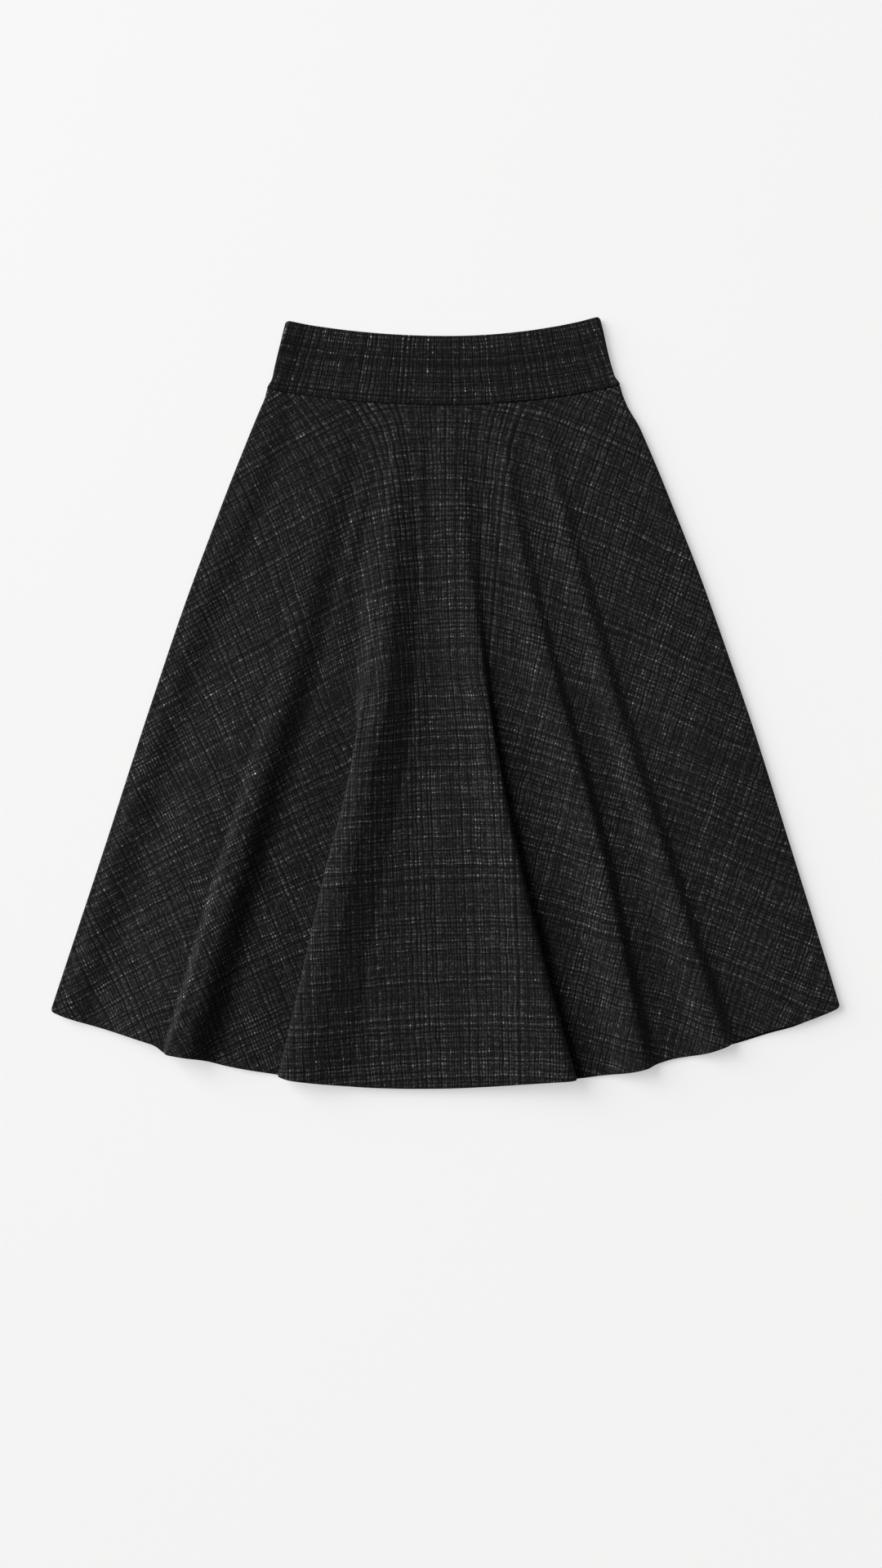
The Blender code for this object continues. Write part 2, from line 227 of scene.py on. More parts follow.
@dataclass(frozen=True)
class SideRoll:
    """The rolled edge at a side seam, where front and back meet.

    Attributes:
        seam: The height where the front's edge and the back's edge meet.
        front: The radius of the front's roll.
        stand: The upright stretch where the two edges meet.
        steps: The parts that a roll's quarter turn is drawn in.
    """

    seam: float = 3.4 * MM
    front: float = 2.4 * MM
    stand: float = 0.6 * MM
    steps: int = 6

    def path(self, edge: float, inward: int, seam: float, level: float) -> Section:
        """The roll's section, from the seam round to level.

        Args:
            edge: The place of the seam across the section.
            inward: 1 where the panel lies towards +X of the seam, otherwise -1.
            seam: The height of this piece's edge.
            level: The height at which the roll ends.

        Returns:
            Points as (across, height).
        """
        rise = math.copysign(self.stand, level - seam)
        radius = level - seam - rise
        points = [(edge, seam), (edge, seam + rise / 2)]
        for i in range(self.steps + 1):
            angle = math.pi / 2 * i / self.steps
            across = edge + inward * abs(radius) * (1 - math.cos(angle))
            points.append((across, seam + rise + radius * math.sin(angle)))
        return points


@dataclass(frozen=True)
class Ridge:
    """The line of a ridge, a hollow or a flat down the panel.

    Attributes:
        name: What the line is called.
        angles: Its angle at each share of the way down.
        heights: The height of the cloth there, in mm over the back.
    """

    name: str
    angles: tuple
    heights: tuple


@dataclass(frozen=True)
class Fold:
    """A fold's edge.

    Attributes:
        name: What the fold is called.
        facing: The side that the edge faces.
        angles: The edge's angle at each share of the way down.
        low: The height, in mm over the back, of the cloth beside the edge.
        high: The height of the crest.
        lap: How far in mm the cloth doubles back under the edge. Less than 0 is a flank that shows.
        inner: The radius of the bend at the lap's end.
        soft_bend: The most that the radii of the two bends add up to.
        open_bend: How large an open fold's bends are, against the largest that fit.
        closed_lap: The lap from which on a fold has the largest bends that fit.
        open_lap: The width of a flank from which on both its bends are alike.
        least_fall: The least height of the edge.
        foot: How far beyond the edge the cloth reaches its low height.
        bend_reach: The least length that is drawn in a bend's own steps.
        outer_most: The most of the whole turn that the outer bend's steps take up.
        inner_most: The most of the rest that the inner bend's steps take up.
        outer_steps: The parts of the bend at the crest.
        straight_steps: The parts between the two bends.
        inner_steps: The parts of the bend at the lap's end.
    """

    name: str
    facing: Facing
    angles: tuple
    low: tuple
    high: tuple
    lap: tuple
    inner: float = 1.5 * MM
    soft_bend: float = 14.0 * MM
    open_bend: float = 0.8
    closed_lap: float = 20.0 * MM
    open_lap: float = 10.0 * MM
    least_fall: float = 0.05 * MM
    foot: float = 4.0 * MM
    bend_reach: float = 4.0 * MM
    outer_most: float = 0.6
    inner_most: float = 0.9
    outer_steps: int = 8
    straight_steps: int = 5
    inner_steps: int = 6

    def path(self, edge: float, low: float, high: float, lap: float) -> Section:
        """The section of the fold's edge, from its left end to its right end.

        Args:
            edge: The place of the edge across the section.
            low: The height of the cloth beside the edge.
            high: The height of the crest.
            lap: How far the cloth doubles back.

        Returns:
            Points as (across, height).
        """
        facing = self.facing.value
        fall = max(high - low, self.least_fall)
        most = fall / 2 if lap > 0 else (lap * lap + fall * fall) / (2 * fall)
        closed = min(1.0, max(0.0, lap / self.closed_lap))
        bends = min(self.soft_bend, most * (self.open_bend + (1 - self.open_bend) * closed))
        openness = min(1.0, max(0.0, -lap / self.open_lap))
        tight = min(self.inner, bends / 2)
        inner = tight + (bends / 2 - tight) * openness
        outer = bends - inner
        across, down = -lap, fall - bends
        straight = math.sqrt(max(across**2 + down**2 - bends**2, 0.0))
        swing = math.atan2(bends, straight) + math.atan2(down, across)
        length = (outer + inner) * swing + straight

        def along(distance: float) -> tuple[float, float]:
            """A point of the turn.

            Args:
                distance: How far along it, from its crest down to the lower layer.

            Returns:
                The point, as (outward from where the turn begins, height).
            """
            if distance < outer * swing:
                angle = distance / outer
                return outer * math.sin(angle), high - outer + outer * math.cos(angle)
            if distance > length - inner * swing:
                angle = (length - distance) / inner
                return across - inner * math.sin(angle), low + inner - inner * math.cos(angle)
            run = distance - outer * swing
            x = outer * math.sin(swing) + run * math.cos(swing)
            return x, high - outer + outer * math.cos(swing) - run * math.sin(swing)

        outer_reach = min(max(outer * swing, self.bend_reach), self.outer_most * length)
        rest = length - outer_reach
        inner_reach = min(max(inner * swing, self.bend_reach), self.inner_most * rest)
        between = rest - inner_reach
        stops = [outer_reach * i / self.outer_steps for i in range(self.outer_steps)]
        stops += [outer_reach + between * i / self.straight_steps for i in range(self.straight_steps)]
        stops += [length - inner_reach * i / self.inner_steps for i in range(self.inner_steps, -1, -1)]
        start = edge - facing * outer
        points = [(start + facing * x, z) for x, z in map(along, stops)]
        return points if self.facing is Facing.RIGHT else points[::-1]


@dataclass(frozen=True)
class Crease:
    """A soft ridge or, with a height below 0, a soft trough in the laid cloth.

    Attributes:
        start: The angle and the share of the way down where it begins.
        end: The same where it ends.
        height: Its height, in mm, half-way along.
        half_width: From its line to where it ends, in mm.
        bow: How far, in mm, its middle bends to the right as seen from its start.
        taper: How slender it is towards its ends.
    """

    start: tuple[float, float]
    end: tuple[float, float]
    height: float
    half_width: float
    bow: float = 0.0
    taper: float = 1.2

    def lift(self, fan: Fan, points: np.ndarray) -> np.ndarray:
        """How far it lifts each point.

        Args:
            fan: The skirt's layout.
            points: The sheet's points, as rows by columns by 3.

        Returns:
            A height for each point.
        """
        begin, finish = (
            np.array(fan.place(fan.down_distance(down), angle, 0.0)[:2])
            for angle, down in (self.start, self.end)
        )
        run = finish - begin
        length = np.hypot(*run)
        along_line = run / length
        aside = np.array((along_line[1], -along_line[0]))
        offset = points[..., :2] - begin
        share = offset @ along_line / length
        inside = np.clip(share, 0.0, 1.0)
        across = offset @ aside - self.bow * MM * np.sin(np.pi * inside)
        swell = np.sin(np.pi * inside) ** self.taper
        near = np.clip(np.abs(across) / (self.half_width * MM), 0.0, 1.0)
        return self.height * MM * swell * np.cos(np.pi / 2 * near) ** 2


@dataclass(frozen=True)
class Creasing:
    """The small creases, which run through front and back alike where they lie on each other."""

    lines: tuple = (
        Crease((-14.5, 0.08), (-15.6, 0.42), height=1.0, half_width=14, bow=5),
        Crease((-15.4, 0.52), (-16.8, 0.94), height=1.1, half_width=17, bow=-6),
        Crease((-7.4, 0.03), (-8.7, 0.31), height=1.1, half_width=9, bow=-4),
        Crease((-9.6, 0.36), (-10.5, 0.77), height=0.9, half_width=11, bow=3),
        Crease((-2.7, 0.03), (-2.2, 0.23), height=0.9, half_width=6, bow=2),
        Crease((-1.9, 0.60), (-0.8, 0.96), height=0.7, half_width=15, bow=5),
        Crease((0.9, 0.02), (1.5, 0.15), height=0.6, half_width=5, bow=-1),
        Crease((3.3, 0.04), (4.0, 0.27), height=0.9, half_width=7, bow=2),
        Crease((6.1, 0.13), (6.7, 0.41), height=0.8, half_width=6, bow=2),
        Crease((8.9, 0.10), (10.4, 0.40), height=1.0, half_width=7, bow=4),
        Crease((8.2, 0.02), (8.8, 0.20), height=0.7, half_width=5, bow=-2),
        Crease((11.8, 0.19), (12.7, 0.47), height=0.9, half_width=9, bow=-3),
        Crease((10.9, 0.58), (12.1, 0.91), height=0.7, half_width=8, bow=2),
        Crease((13.8, 0.06), (15.3, 0.37), height=1.0, half_width=14, bow=-5),
        Crease((15.1, 0.49), (16.6, 0.88), height=0.9, half_width=17, bow=6),
    )

    def shape(self, fan: Fan, points: np.ndarray) -> None:
        """Lifts a sheet's points (rows by columns by 3) over the creases."""
        for line in self.lines:
            points[..., 2] += line.lift(fan, points)


@dataclass(frozen=True)
class Grain:
    """How far the threads are turned from the fan, in degrees, at one fold down the panel."""

    at: str
    turns: tuple


@dataclass
class ThreadLayer:
    """Lays straight, evenly spaced threads on a folded sheet, as nearly as its form allows.

    Attributes:
        hidden_weight: How much cloth inside a fold counts, against 1 for cloth that shows.
        rounds: The most rounds of the search for the best fit.
        least_length: What a shorter side of the sheet's mesh counts as.
        enough: What may be left to gain when the search ends.
    """

    hidden_weight: float = 0.02
    rounds: int = 700
    least_length: float = 1e-6
    enough: float = 1e-16

    def lay(self, points: np.ndarray, slants: np.ndarray, hidden: np.ndarray) -> np.ndarray:
        """Finds each point's place on the flat cloth.

        Args:
            points: The sheet's points, as rows by columns by 3, in metres.
            slants: The angle in radians from the way down the fan to the warp, at each point.
            hidden: Whether each point lies inside a fold.

        Returns:
            The place across the cloth and along its warp at each point, in metres.
        """
        weight = np.where(hidden, self.hidden_weight, 1.0)
        turn = np.exp(1j * slants)
        rows = np.diff(points, axis=1)
        row_length = np.maximum(np.linalg.norm(rows, axis=2), self.least_length)
        tangent = rows / row_length[..., None]
        tangent = np.concatenate((tangent, tangent[:, -1:]), axis=1)
        columns = np.diff(points, axis=0)
        column_length = np.maximum(np.linalg.norm(columns, axis=2), self.least_length)
        sideways = np.einsum("ijk,ijk->ij", columns, (tangent[:-1] + tangent[1:]) / 2)
        downward = np.sqrt(np.maximum(column_length**2 - sideways**2, 0.0))
        row_step = row_length * (turn[:, 1:] + turn[:, :-1]) / 2
        column_step = (sideways - 1j * downward) * (turn[1:] + turn[:-1]) / 2
        mean_down = np.pad(column_length, ((0, 1), (0, 0)), mode="edge")
        mean_across = np.pad(row_length, ((0, 0), (0, 1)), mode="edge")
        row_pull = np.minimum(weight[:, 1:], weight[:, :-1]) * mean_down[:, 1:] / row_length
        column_pull = np.minimum(weight[1:], weight[:-1]) * mean_across[1:] / column_length

        def pulled(flow_across: np.ndarray, flow_down: np.ndarray) -> np.ndarray:
            """Adds up the pulls on each point.

            Args:
                flow_across: The pull along each step of a row.
                flow_down: The pull along each step of a column.

            Returns:
                What they come to at each point.
            """
            total = np.zeros(points.shape[:2], complex)
            total[:, 1:] += flow_across
            total[:, :-1] -= flow_across
            total[1:] += flow_down
            total[:-1] -= flow_down
            return total

        def spread(place: np.ndarray) -> np.ndarray:
            """The pull on each point where the cloth lies at these places."""
            return pulled(row_pull * np.diff(place, axis=1), column_pull * np.diff(place, axis=0))

        scale = np.zeros(points.shape[:2])
        scale[:, 1:] += row_pull
        scale[:, :-1] += row_pull
        scale[1:] += column_pull
        scale[:-1] += column_pull
        place = points[..., 0] + 1j * points[..., 1]
        rest = pulled(row_pull * row_step, column_pull * column_step) - spread(place)
        eased = rest / scale
        heading = eased.copy()
        strength = np.vdot(rest, eased).real
        for _ in range(self.rounds):
            answer = spread(heading)
            reach = strength / np.vdot(heading, answer).real
            place += reach * heading
            rest -= reach * answer
            eased = rest / scale
            fresh = np.vdot(rest, eased).real
            if fresh < self.enough:
                break
            heading = eased + heading * (fresh / strength)
            strength = fresh
        log.info("threads laid, what is left %.1e", strength)
        return np.stack((place.real, place.imag), axis=2)


@dataclass
class ClothSheet:
    """A closed sheet of cloth with rounded edges.

    Attributes:
        name: The piece's name.
        points: The middle of the sheet, as rows by columns by 3.
        places: Each point's place on the flat cloth, as rows by columns by 2.
        thickness: The cloth's thickness.
        rounding: The reach of the rounding at the upper, lower and side edges.
        underside: The lowest height that the underside may have, or None.
        least_normal: What a shorter normal counts as.
    """

    name: str
    points: np.ndarray
    places: np.ndarray
    thickness: float
    rounding: tuple[float, float, float]
    underside: float | None = None
    least_normal: float = 1e-12

    def outward(self) -> np.ndarray:
        """Finds the sheet's normals.

        Returns:
            The direction out of the sheet's upper side at each point, one long.
        """
        down = np.gradient(self.points, axis=0)
        across = np.gradient(self.points, axis=1)
        normal = np.cross(down, across)
        return normal / np.maximum(np.linalg.norm(normal, axis=2), self.least_normal)[..., None]

    def fullness(self) -> np.ndarray:
        """Rounds the sheet's edges.

        Returns:
            The share of its thickness that the cloth has at each point, 0 along its edges.
        """
        rows = np.linalg.norm(np.diff(self.points, axis=0), axis=2)
        columns = np.linalg.norm(np.diff(self.points, axis=1), axis=2)
        from_top = np.pad(np.cumsum(rows, axis=0), ((1, 0), (0, 0)))
        from_left = np.pad(np.cumsum(columns, axis=1), ((0, 0), (1, 0)))
        upper, lower, side = self.rounding
        share = np.ones(self.points.shape[:2])
        for distance, reach in (
            (from_top, upper),
            (from_top[-1:] - from_top, lower),
            (from_left, side),
            (from_left[:, -1:] - from_left, side),
        ):
            near = np.clip(distance / reach, 0.0, 1.0)
            share = np.minimum(share, np.sqrt(1 - (1 - near) ** 2))
        return share

    def build(self) -> Object:
        """Makes the piece.

        Returns:
            The closed mesh, with the threads' places as its UV map.
        """
        rows, columns = self.points.shape[:2]
        half = self.outward() * (self.fullness() * self.thickness / 2)[..., None]
        top = self.points + half
        bottom = self.points - half
        if self.underside is not None:
            bottom[..., 2] = np.maximum(bottom[..., 2], self.underside)
        for edge in (np.s_[0], np.s_[-1], np.s_[:, 0], np.s_[:, -1]):
            top[edge] = self.points[edge]
        # The underside has points of its own but for the edges, which it shares with the upper side
        index = np.arange(rows * columns).reshape(rows, columns)
        own = np.arange((rows - 2) * (columns - 2)).reshape(rows - 2, columns - 2)
        under = index.copy()
        under[1:-1, 1:-1] = rows * columns + own
        vertices = np.concatenate((top.reshape(-1, 3), bottom[1:-1, 1:-1].reshape(-1, 3)))
        faces = []
        for grid, order in ((index, 1), (under, -1)):
            corners = np.stack((grid[:-1, :-1], grid[1:, :-1], grid[1:, 1:], grid[:-1, 1:]), axis=2)
            faces.append(corners.reshape(-1, 4)[:, ::order])
        mesh = bpy.data.meshes.new(self.name)
        mesh.from_pydata(vertices.tolist(), [], np.concatenate(faces).tolist())
        flat = np.concatenate((self.places.reshape(-1, 2), self.places[1:-1, 1:-1].reshape(-1, 2)))
        loops = np.empty(len(mesh.loops), dtype=np.int32)
        mesh.loops.foreach_get("vertex_index", loops)
        mesh.uv_layers.new(name=THREADS).data.foreach_set("uv", flat[loops].ravel())
        mesh.shade_smooth()
        mesh.update()
        return placed(self.name, mesh)


def edge_stations(length: float, count: int, crowding: float, fine: tuple, clear: float = 1.4) -> list[float]:
    """Shares of a length, close together at both ends, where the cloth's edges are rounded.

    Args:
        length: The length, in metres.
        count: The number of even parts.
        crowding: Over 1 to crowd the parts towards the start.
        fine: Distances from each end, in mm, that get a station of their own.
        clear: How many times the last of those has no other station in it.

    Returns:
        The shares, rising from 0 to 1.
    """
    near = [distance * MM / length for distance in fine]
    keep = near[-1] * clear
    middle = [(i / count) ** crowding for i in range(1, count)]
    inside = [share for share in middle if keep < share < 1 - keep]
    return [0.0, *near, *inside, *(1 - share for share in reversed(near)), 1.0]


def corner_cut(offset: float, radius: float) -> float:
    """Rounds a corner.

    Args:
        offset: How far from the corner's side.
        radius: The corner's radius.

    Returns:
        How far the rounding draws the edge in there.
    """
    if offset >= radius:
        return 0.0
    return radius - math.sqrt(max(radius**2 - (radius - max(offset, 0.0)) ** 2, 0.0))


@dataclass
class LaidPiece:
    """A piece of the skirt, which runs from side seam to side seam.

    Attributes:
        fan: The skirt's layout.
        roll: The rolled edge at the side seams.
        finish: The material of its cloth.
    """

    fan: Fan
    roll: SideRoll
    finish: Material

    def edges(self, angle: float, offset: float) -> tuple[float, float]:
        """The distances of its upper and lower edge, at an angle and an offset from its side."""
        raise NotImplementedError

    def rolled_ends(self, distance: float, seam: float, level: float) -> tuple[Section, Section]:
        """The two ends of a section.

        Args:
            distance: The section's distance from the fan's centre.
            seam: The height of the piece's side edges.
            level: The height at which the rolls end.

        Returns:
            The left roll and the right roll, both as (across, height) from left to right.
        """
        left, right = self.fan.sides(distance)
        degree = math.radians(distance)
        right_roll = self.roll.path(right * degree, -1, seam, level)[::-1]
        return self.roll.path(left * degree, 1, seam, level), right_roll

    def row(self, section: Section, distance: float, down: float) -> list[Spot]:
        """Lays a section on the fan.

        Args:
            section: Points as (angle, height), from the left seam to the right seam.
            distance: The section's distance from the fan's centre, at centre front.
            down: The share of the way from the piece's upper to its lower edge.

        Returns:
            The section's points in space.
        """
        left, right = section[0][0], section[-1][0]
        row = []
        for angle, height in section:
            offset = math.radians(min(angle - left, right - angle)) * distance
            top, bottom = self.edges(angle, offset)
            row.append(self.fan.place(top + down * (bottom - top), angle, height))
        return row


@dataclass
class Panel(LaidPiece):
    """A quarter-circle panel, from the waist seam to the hem.

    Attributes:
        creasing: The small creases.
        drops: How far its hem lies below the hem's arc.
        cloth: The cloth's thickness.
        hem_corner: The radius of the hem's two corners.
        crowding: Over 1 to crowd the rows towards the waist seam.
    """

    creasing: Creasing
    drops: Drops
    cloth: float = 1.6 * MM
    hem_corner: float = 4.0 * MM
    crowding: float = 1.1

    def edges(self, angle: float, offset: float) -> tuple[float, float]:
        """The distances of the waist seam and the hem, at an angle and an offset from its side."""
        hem = self.fan.hem.at(angle) + self.drops.at(angle)
        return self.fan.waist_seam.at(angle) + GAP / 2, hem - corner_cut(offset, self.hem_corner)


# The front panel's lines from left to right, each at the shares of the way down that DOWN gives
FRONT_FOLDS = (
    Ridge("left_seam_roll", (-17.9, -17.8, -18.75, -18.75, -18.7, -18.5), (3.0, 5.0, 5.6, 6.2, 6.6, 6.6)),
    Ridge("left_seam_hollow", (-16.2, -15.9, -17.2, -17.3, -17.3, -17.2), (1.2, 2.0, 2.4, 2.4, 2.4, 2.4)),
    Ridge("left_swell", (-15.0, -14.5, -14.7, -15.0, -15.2, -15.3), (1.2, 2.8, 5.8, 7.0, 7.8, 8.0)),
    Fold(
        "left_flute",
        Facing.LEFT,
        angles=(-13.0, -12.1, -11.9, -12.3, -12.75, -13.4),
        low=(1.2, 3.4, 8.2, 9.8, 10.6, 10.8),
        high=(1.3, 3.6, 10.5, 14.6, 19.0, 23.2),
        lap=(-14, -18, -18, -15, -14, -11),
    ),
    Ridge(
        "left_flute_crest",
        (-11.4, -10.8, -11.05, -11.5, -11.9, -12.55),
        (1.3, 3.6, 10.5, 14.6, 19.0, 23.2),
    ),
    Ridge("left_valley", (-9.5, -8.7, -9.25, -9.95, -10.4, -11.1), (0.6, 0.8, 0.6, 0.4, 0.3, 0.3)),
    Ridge("left_gore", (-9.0, -8.25, -8.4, -8.6, -9.0, -9.7), (0.6, 1.2, 1.8, 2.0, 2.2, 2.5)),
    Fold(
        "centre_left_edge",
        Facing.LEFT,
        angles=(-6.6, -6.4, -5.85, -6.2, -7.0, -8.0),
        low=(0.6, 1.2, 0.8, 0.3, 0.2, 0.0),
        high=(0.7, 4.0, 11.8, 16.2, 17.5, 17.0),
        lap=(-12, -21, -19, 14, 52, 150),
    ),
    Ridge("centre_left_crest", (-5.5, -5.3, -4.75, -5.4, -6.1, -7.1), (0.7, 5.2, 15.2, 18.5, 19.0, 17.5)),
    Fold(
        "centre_left_lip",
        Facing.RIGHT,
        angles=(-4.6, -4.15, -3.75, -4.5, -5.2, -6.2),
        low=(0.6, 1.4, 2.6, 4.2, 6.0, 6.6),
        high=(0.7, 5.0, 15.2, 18.0, 18.0, 15.5),
        lap=(-14, -22, -30, -36, -35, -42),
    ),
    Ridge("centre_left_rise", (-1.9, -2.0, -0.8, -1.6, -2.3, -3.0), (0.6, 0.7, 1.0, 3.2, 5.2, 5.6)),
    Ridge("centre_ridge", (-0.2, -0.1, 0.6, 0.8, 0.8, 0.6), (0.7, 3.8, 4.6, 5.6, 6.8, 7.4)),
    Ridge("centre_right_rise", (0.6, 0.6, 1.3, 1.9, 2.1, 2.7), (0.7, 4.0, 6.4, 7.8, 9.2, 11.4)),
    Ridge("centre_right_crest", (1.4, 1.3, 1.85, 2.6, 3.45, 5.0), (0.7, 3.4, 8.8, 12.2, 15.2, 18.4)),
    Fold(
        "centre_right_edge",
        Facing.RIGHT,
        angles=(2.2, 2.2, 2.75, 3.45, 4.35, 6.1),
        low=(0.6, 0.8, 0.6, 0.2, 0.0, 0.0),
        high=(0.7, 3.2, 9.4, 13.4, 17.0, 20.4),
        lap=(-14, -17, -8, 18, 42, 85),
        inner=2.6 * MM,
    ),
    Ridge("first_right_foot", (4.2, 4.3, 5.1, 5.8, 6.8, 7.6), (0.6, 1.0, 1.0, 0.9, 0.8, 0.7)),
    Ridge("first_right_crest", (5.5, 5.6, 7.05, 7.95, 8.5, 8.95), (0.7, 3.0, 8.2, 10.6, 12.2, 13.4)),
    Fold(
        "first_right_flute",
        Facing.RIGHT,
        angles=(6.4, 6.45, 7.8, 8.65, 9.2, 9.65),
        low=(0.6, 0.8, 1.2, 1.2, 1.2, 1.0),
        high=(0.7, 3.2, 8.7, 11.2, 13.0, 14.2),
        lap=(-15, -14, -13, -14, -15, -18),
    ),
    Ridge("second_right_foot", (8.7, 8.9, 9.8, 10.5, 11.2, 11.6), (0.6, 0.9, 1.0, 0.9, 0.8, 0.7)),
    Ridge("second_right_crest", (9.7, 9.8, 10.85, 11.45, 12.1, 12.85), (0.7, 3.0, 7.4, 8.4, 9.6, 11.6)),
    Fold(
        "second_right_flute",
        Facing.RIGHT,
        angles=(10.6, 10.7, 11.65, 12.2, 12.75, 13.6),
        low=(0.6, 0.8, 1.1, 1.0, 0.9, 0.8),
        high=(0.7, 3.4, 8.0, 9.0, 10.2, 12.2),
        lap=(-15, -14, -14, -15, -15, -17),
    ),
    Ridge("right_swell", (15.6, 15.7, 16.2, 16.5, 16.7, 16.8), (1.0, 2.8, 4.2, 4.8, 5.0, 4.8)),
    Ridge("right_seam_hollow", (17.2, 17.3, 18.1, 18.2, 18.1, 18.0), (1.4, 2.6, 3.8, 4.4, 4.6, 4.6)),
)


@dataclass
class FrontPanel(Panel):
    """The front of the skirt: a quarter-circle fan, whose flutes lie pressed into soft folds.

    Attributes:
        cut: The width and length of the flat cut, and its area; not used here.
        rounding: The reach of the rounding at the waist seam, the hem and the sides.
        rows: The even parts from the waist seam to the hem.
        fine: Distances from the waist seam and the hem, in mm, that get a row of their own.
        span_steps: The parts of each stretch between two lines of the section.
        folds: The lines of the section from left to right.
        grain: The threads' turn along the section.
        seam_tuck: How far the waist seam pulls the cloth down.
        tuck_reach: From the seam to where the cloth isn't pulled down.
        cover: How much higher another layer lies where it hides a point.
        marks: The columns of the lines in the section that was made last.
    """

    drops: Drops = Drops(
        angles=(
            -20.0, -18.2, -15.6, -14.1, -13.5, -12.1, -10.8, -8.1, -7.4, -4.8, -0.5,
            4.2, 6.6, 8.4, 9.5, 10.8, 12.2, 13.4, 14.6, 16.2, 17.4, 18.6, 20.0,
        ),
        lengths=(
            0.4, -0.4, -2.9, -2.7, 1.7, 0.0, 1.8, 1.2, 2.9, 3.1, 0.9,
            -1.7, -0.3, 1.2, 0.4, -2.3, -0.3, -1.9, -3.7, -2.4, 0.6, 0.9, -0.4,
        ),
    )
    cut: tuple[float, float, float] = (1.370, 0.796, 0.690)
    rounding: tuple[float, float, float] = (2.4 * MM, 0.8 * MM, 0.8 * MM)
    rows: int = 112
    fine: tuple = (0.15, 0.4, 0.8, 1.4, 2.4, 4.0)
    span_steps: int = 5
    folds: tuple = FRONT_FOLDS
    grain: tuple = (
        Grain("left_seam", (-27.0, -27.0, -28.0, -28.0, -28.0, -28.0)),
        Grain("left_flute_foot", (-25.5, -26.0, -27.5, -27.5, -27.5, -27.5)),
        Grain("left_valley", (-21.5, -21.5, -24.0, -24.5, -24.5, -24.5)),
        Grain("centre_left_edge_foot", (-17.0, -17.0, -21.0, -22.0, -22.0, -22.0)),
        Grain("centre_left_edge", (-10.0, -10.0, -12.0, -5.0, -5.0, -5.0)),
        Grain("centre_left_lip_foot", (-2.0, -1.5, -2.0, -3.0, -4.0, -4.0)),
        Grain("centre_ridge", (0.0, 0.0, 0.0, 0.0, 0.0, 0.0)),
        Grain("centre_right_edge", (4.0, 4.0, 3.0, 3.0, 3.0, 3.0)),
        Grain("centre_right_edge_foot", (7.5, 8.0, 13.0, 13.0, 13.0, 13.0)),
        Grain("first_right_crest", (10.0, 11.0, 14.5, 14.5, 14.5, 14.5)),
        Grain("second_right_foot", (15.0, 16.0, 17.5, 17.5, 17.5, 17.5)),
        Grain("second_right_crest", (18.0, 18.5, 19.0, 19.0, 19.0, 19.0)),
        Grain("second_right_flute_foot", (20.0, 21.0, 23.0, 23.0, 23.0, 23.0)),
        Grain("right_seam", (20.0, 22.0, 25.5, 25.5, 25.5, 25.5)),
    )
    seam_tuck: float = 0.5 * MM
    tuck_reach: float = 4.0 * MM
    cover: float = 2.4 * MM
    marks: dict[str, int] = field(default_factory=dict)

    def span(self, knots: Section) -> Section:
        """Draws the cloth between two folds' edges.

        Args:
            knots: The lines that it passes, as (across, height).

        Returns:
            Points after the first knot, on the soft curve through the knots, level at both ends.
        """
        xs, zs = zip(*knots)
        points = []
        for left, right in zip(xs, xs[1:]):
            for step in range(1, self.span_steps + 1):
                x = left + (right - left) * step / self.span_steps
                points.append((x, smooth(xs, zs, x, flat_ends=True)))
        return points

    def section(self, down: float) -> Section:
        """The section at a share of the way down, with the places of its folds in self.marks.

        Args:
            down: The share of the way from the waist seam to the hem.

        Returns:
            Points as (angle, height), from the left seam to the right seam.
        """
        # The middle of the cloth where it rests on the back
        rest = self.cloth * 1.5 + GAP
        distance = self.fan.down_distance(down)
        degree = math.radians(distance)
        seam = self.roll.seam + GAP / 2
        level = seam + self.roll.stand + self.roll.front
        path, right_roll = self.rolled_ends(distance, seam, level)
        knots = [path[-1]]
        self.marks["left_seam"] = 0

        def mark(name: str) -> None:
            """Notes the column of the last knot."""
            self.marks[name] = len(path) - 1 + (len(knots) - 1) * self.span_steps

        for fold in self.folds:
            x = smooth(DOWN, fold.angles, down) * degree
            if isinstance(fold, Ridge):
                knots.append((x, rest + smooth(DOWN, fold.heights, down) * MM))
                mark(fold.name)
                continue
            right_facing = fold.facing is Facing.RIGHT
            facing = fold.facing.value
            low = rest + smooth(DOWN, fold.low, down) * MM
            high = rest + smooth(DOWN, fold.high, down) * MM
            turn = fold.path(x, low, high, smooth(DOWN, fold.lap, down) * MM)
            lower_end = turn[-1] if right_facing else turn[0]
            beyond = facing * max(facing * lower_end[0], facing * x)
            foot = (beyond + facing * fold.foot, low)
            if not right_facing:
                knots.append(foot)
                mark(fold.name + "_foot")
            path += self.span([*knots, turn[0]])
            crest = fold.outer_steps if right_facing else len(turn) - 1 - fold.outer_steps
            self.marks[fold.name] = len(path) - 1 + crest
            path += turn[1:]
            knots = [turn[-1]]
            if right_facing:
                knots.append(foot)
                mark(fold.name + "_foot")
        path += self.span([*knots, right_roll[0]]) + right_roll[1:]
        self.marks["right_seam"] = len(path) - 1
        return [(x / degree, z) for x, z in path]

    def covered(self, path: np.ndarray, steps: int = 8) -> np.ndarray:
        """Finds what lies under another layer in a section.

        Args:
            path: The section's points, as rows of (across, height).
            steps: The parts in which each stretch between two points is looked at.

        Returns:
            Whether each point lies under another layer.
        """
        fine = np.linspace(0.0, 1.0, steps, endpoint=False)
        start, end = path[:-1, None], path[1:, None]
        dense = (start + (end - start) * fine[None, :, None]).reshape(-1, 2)
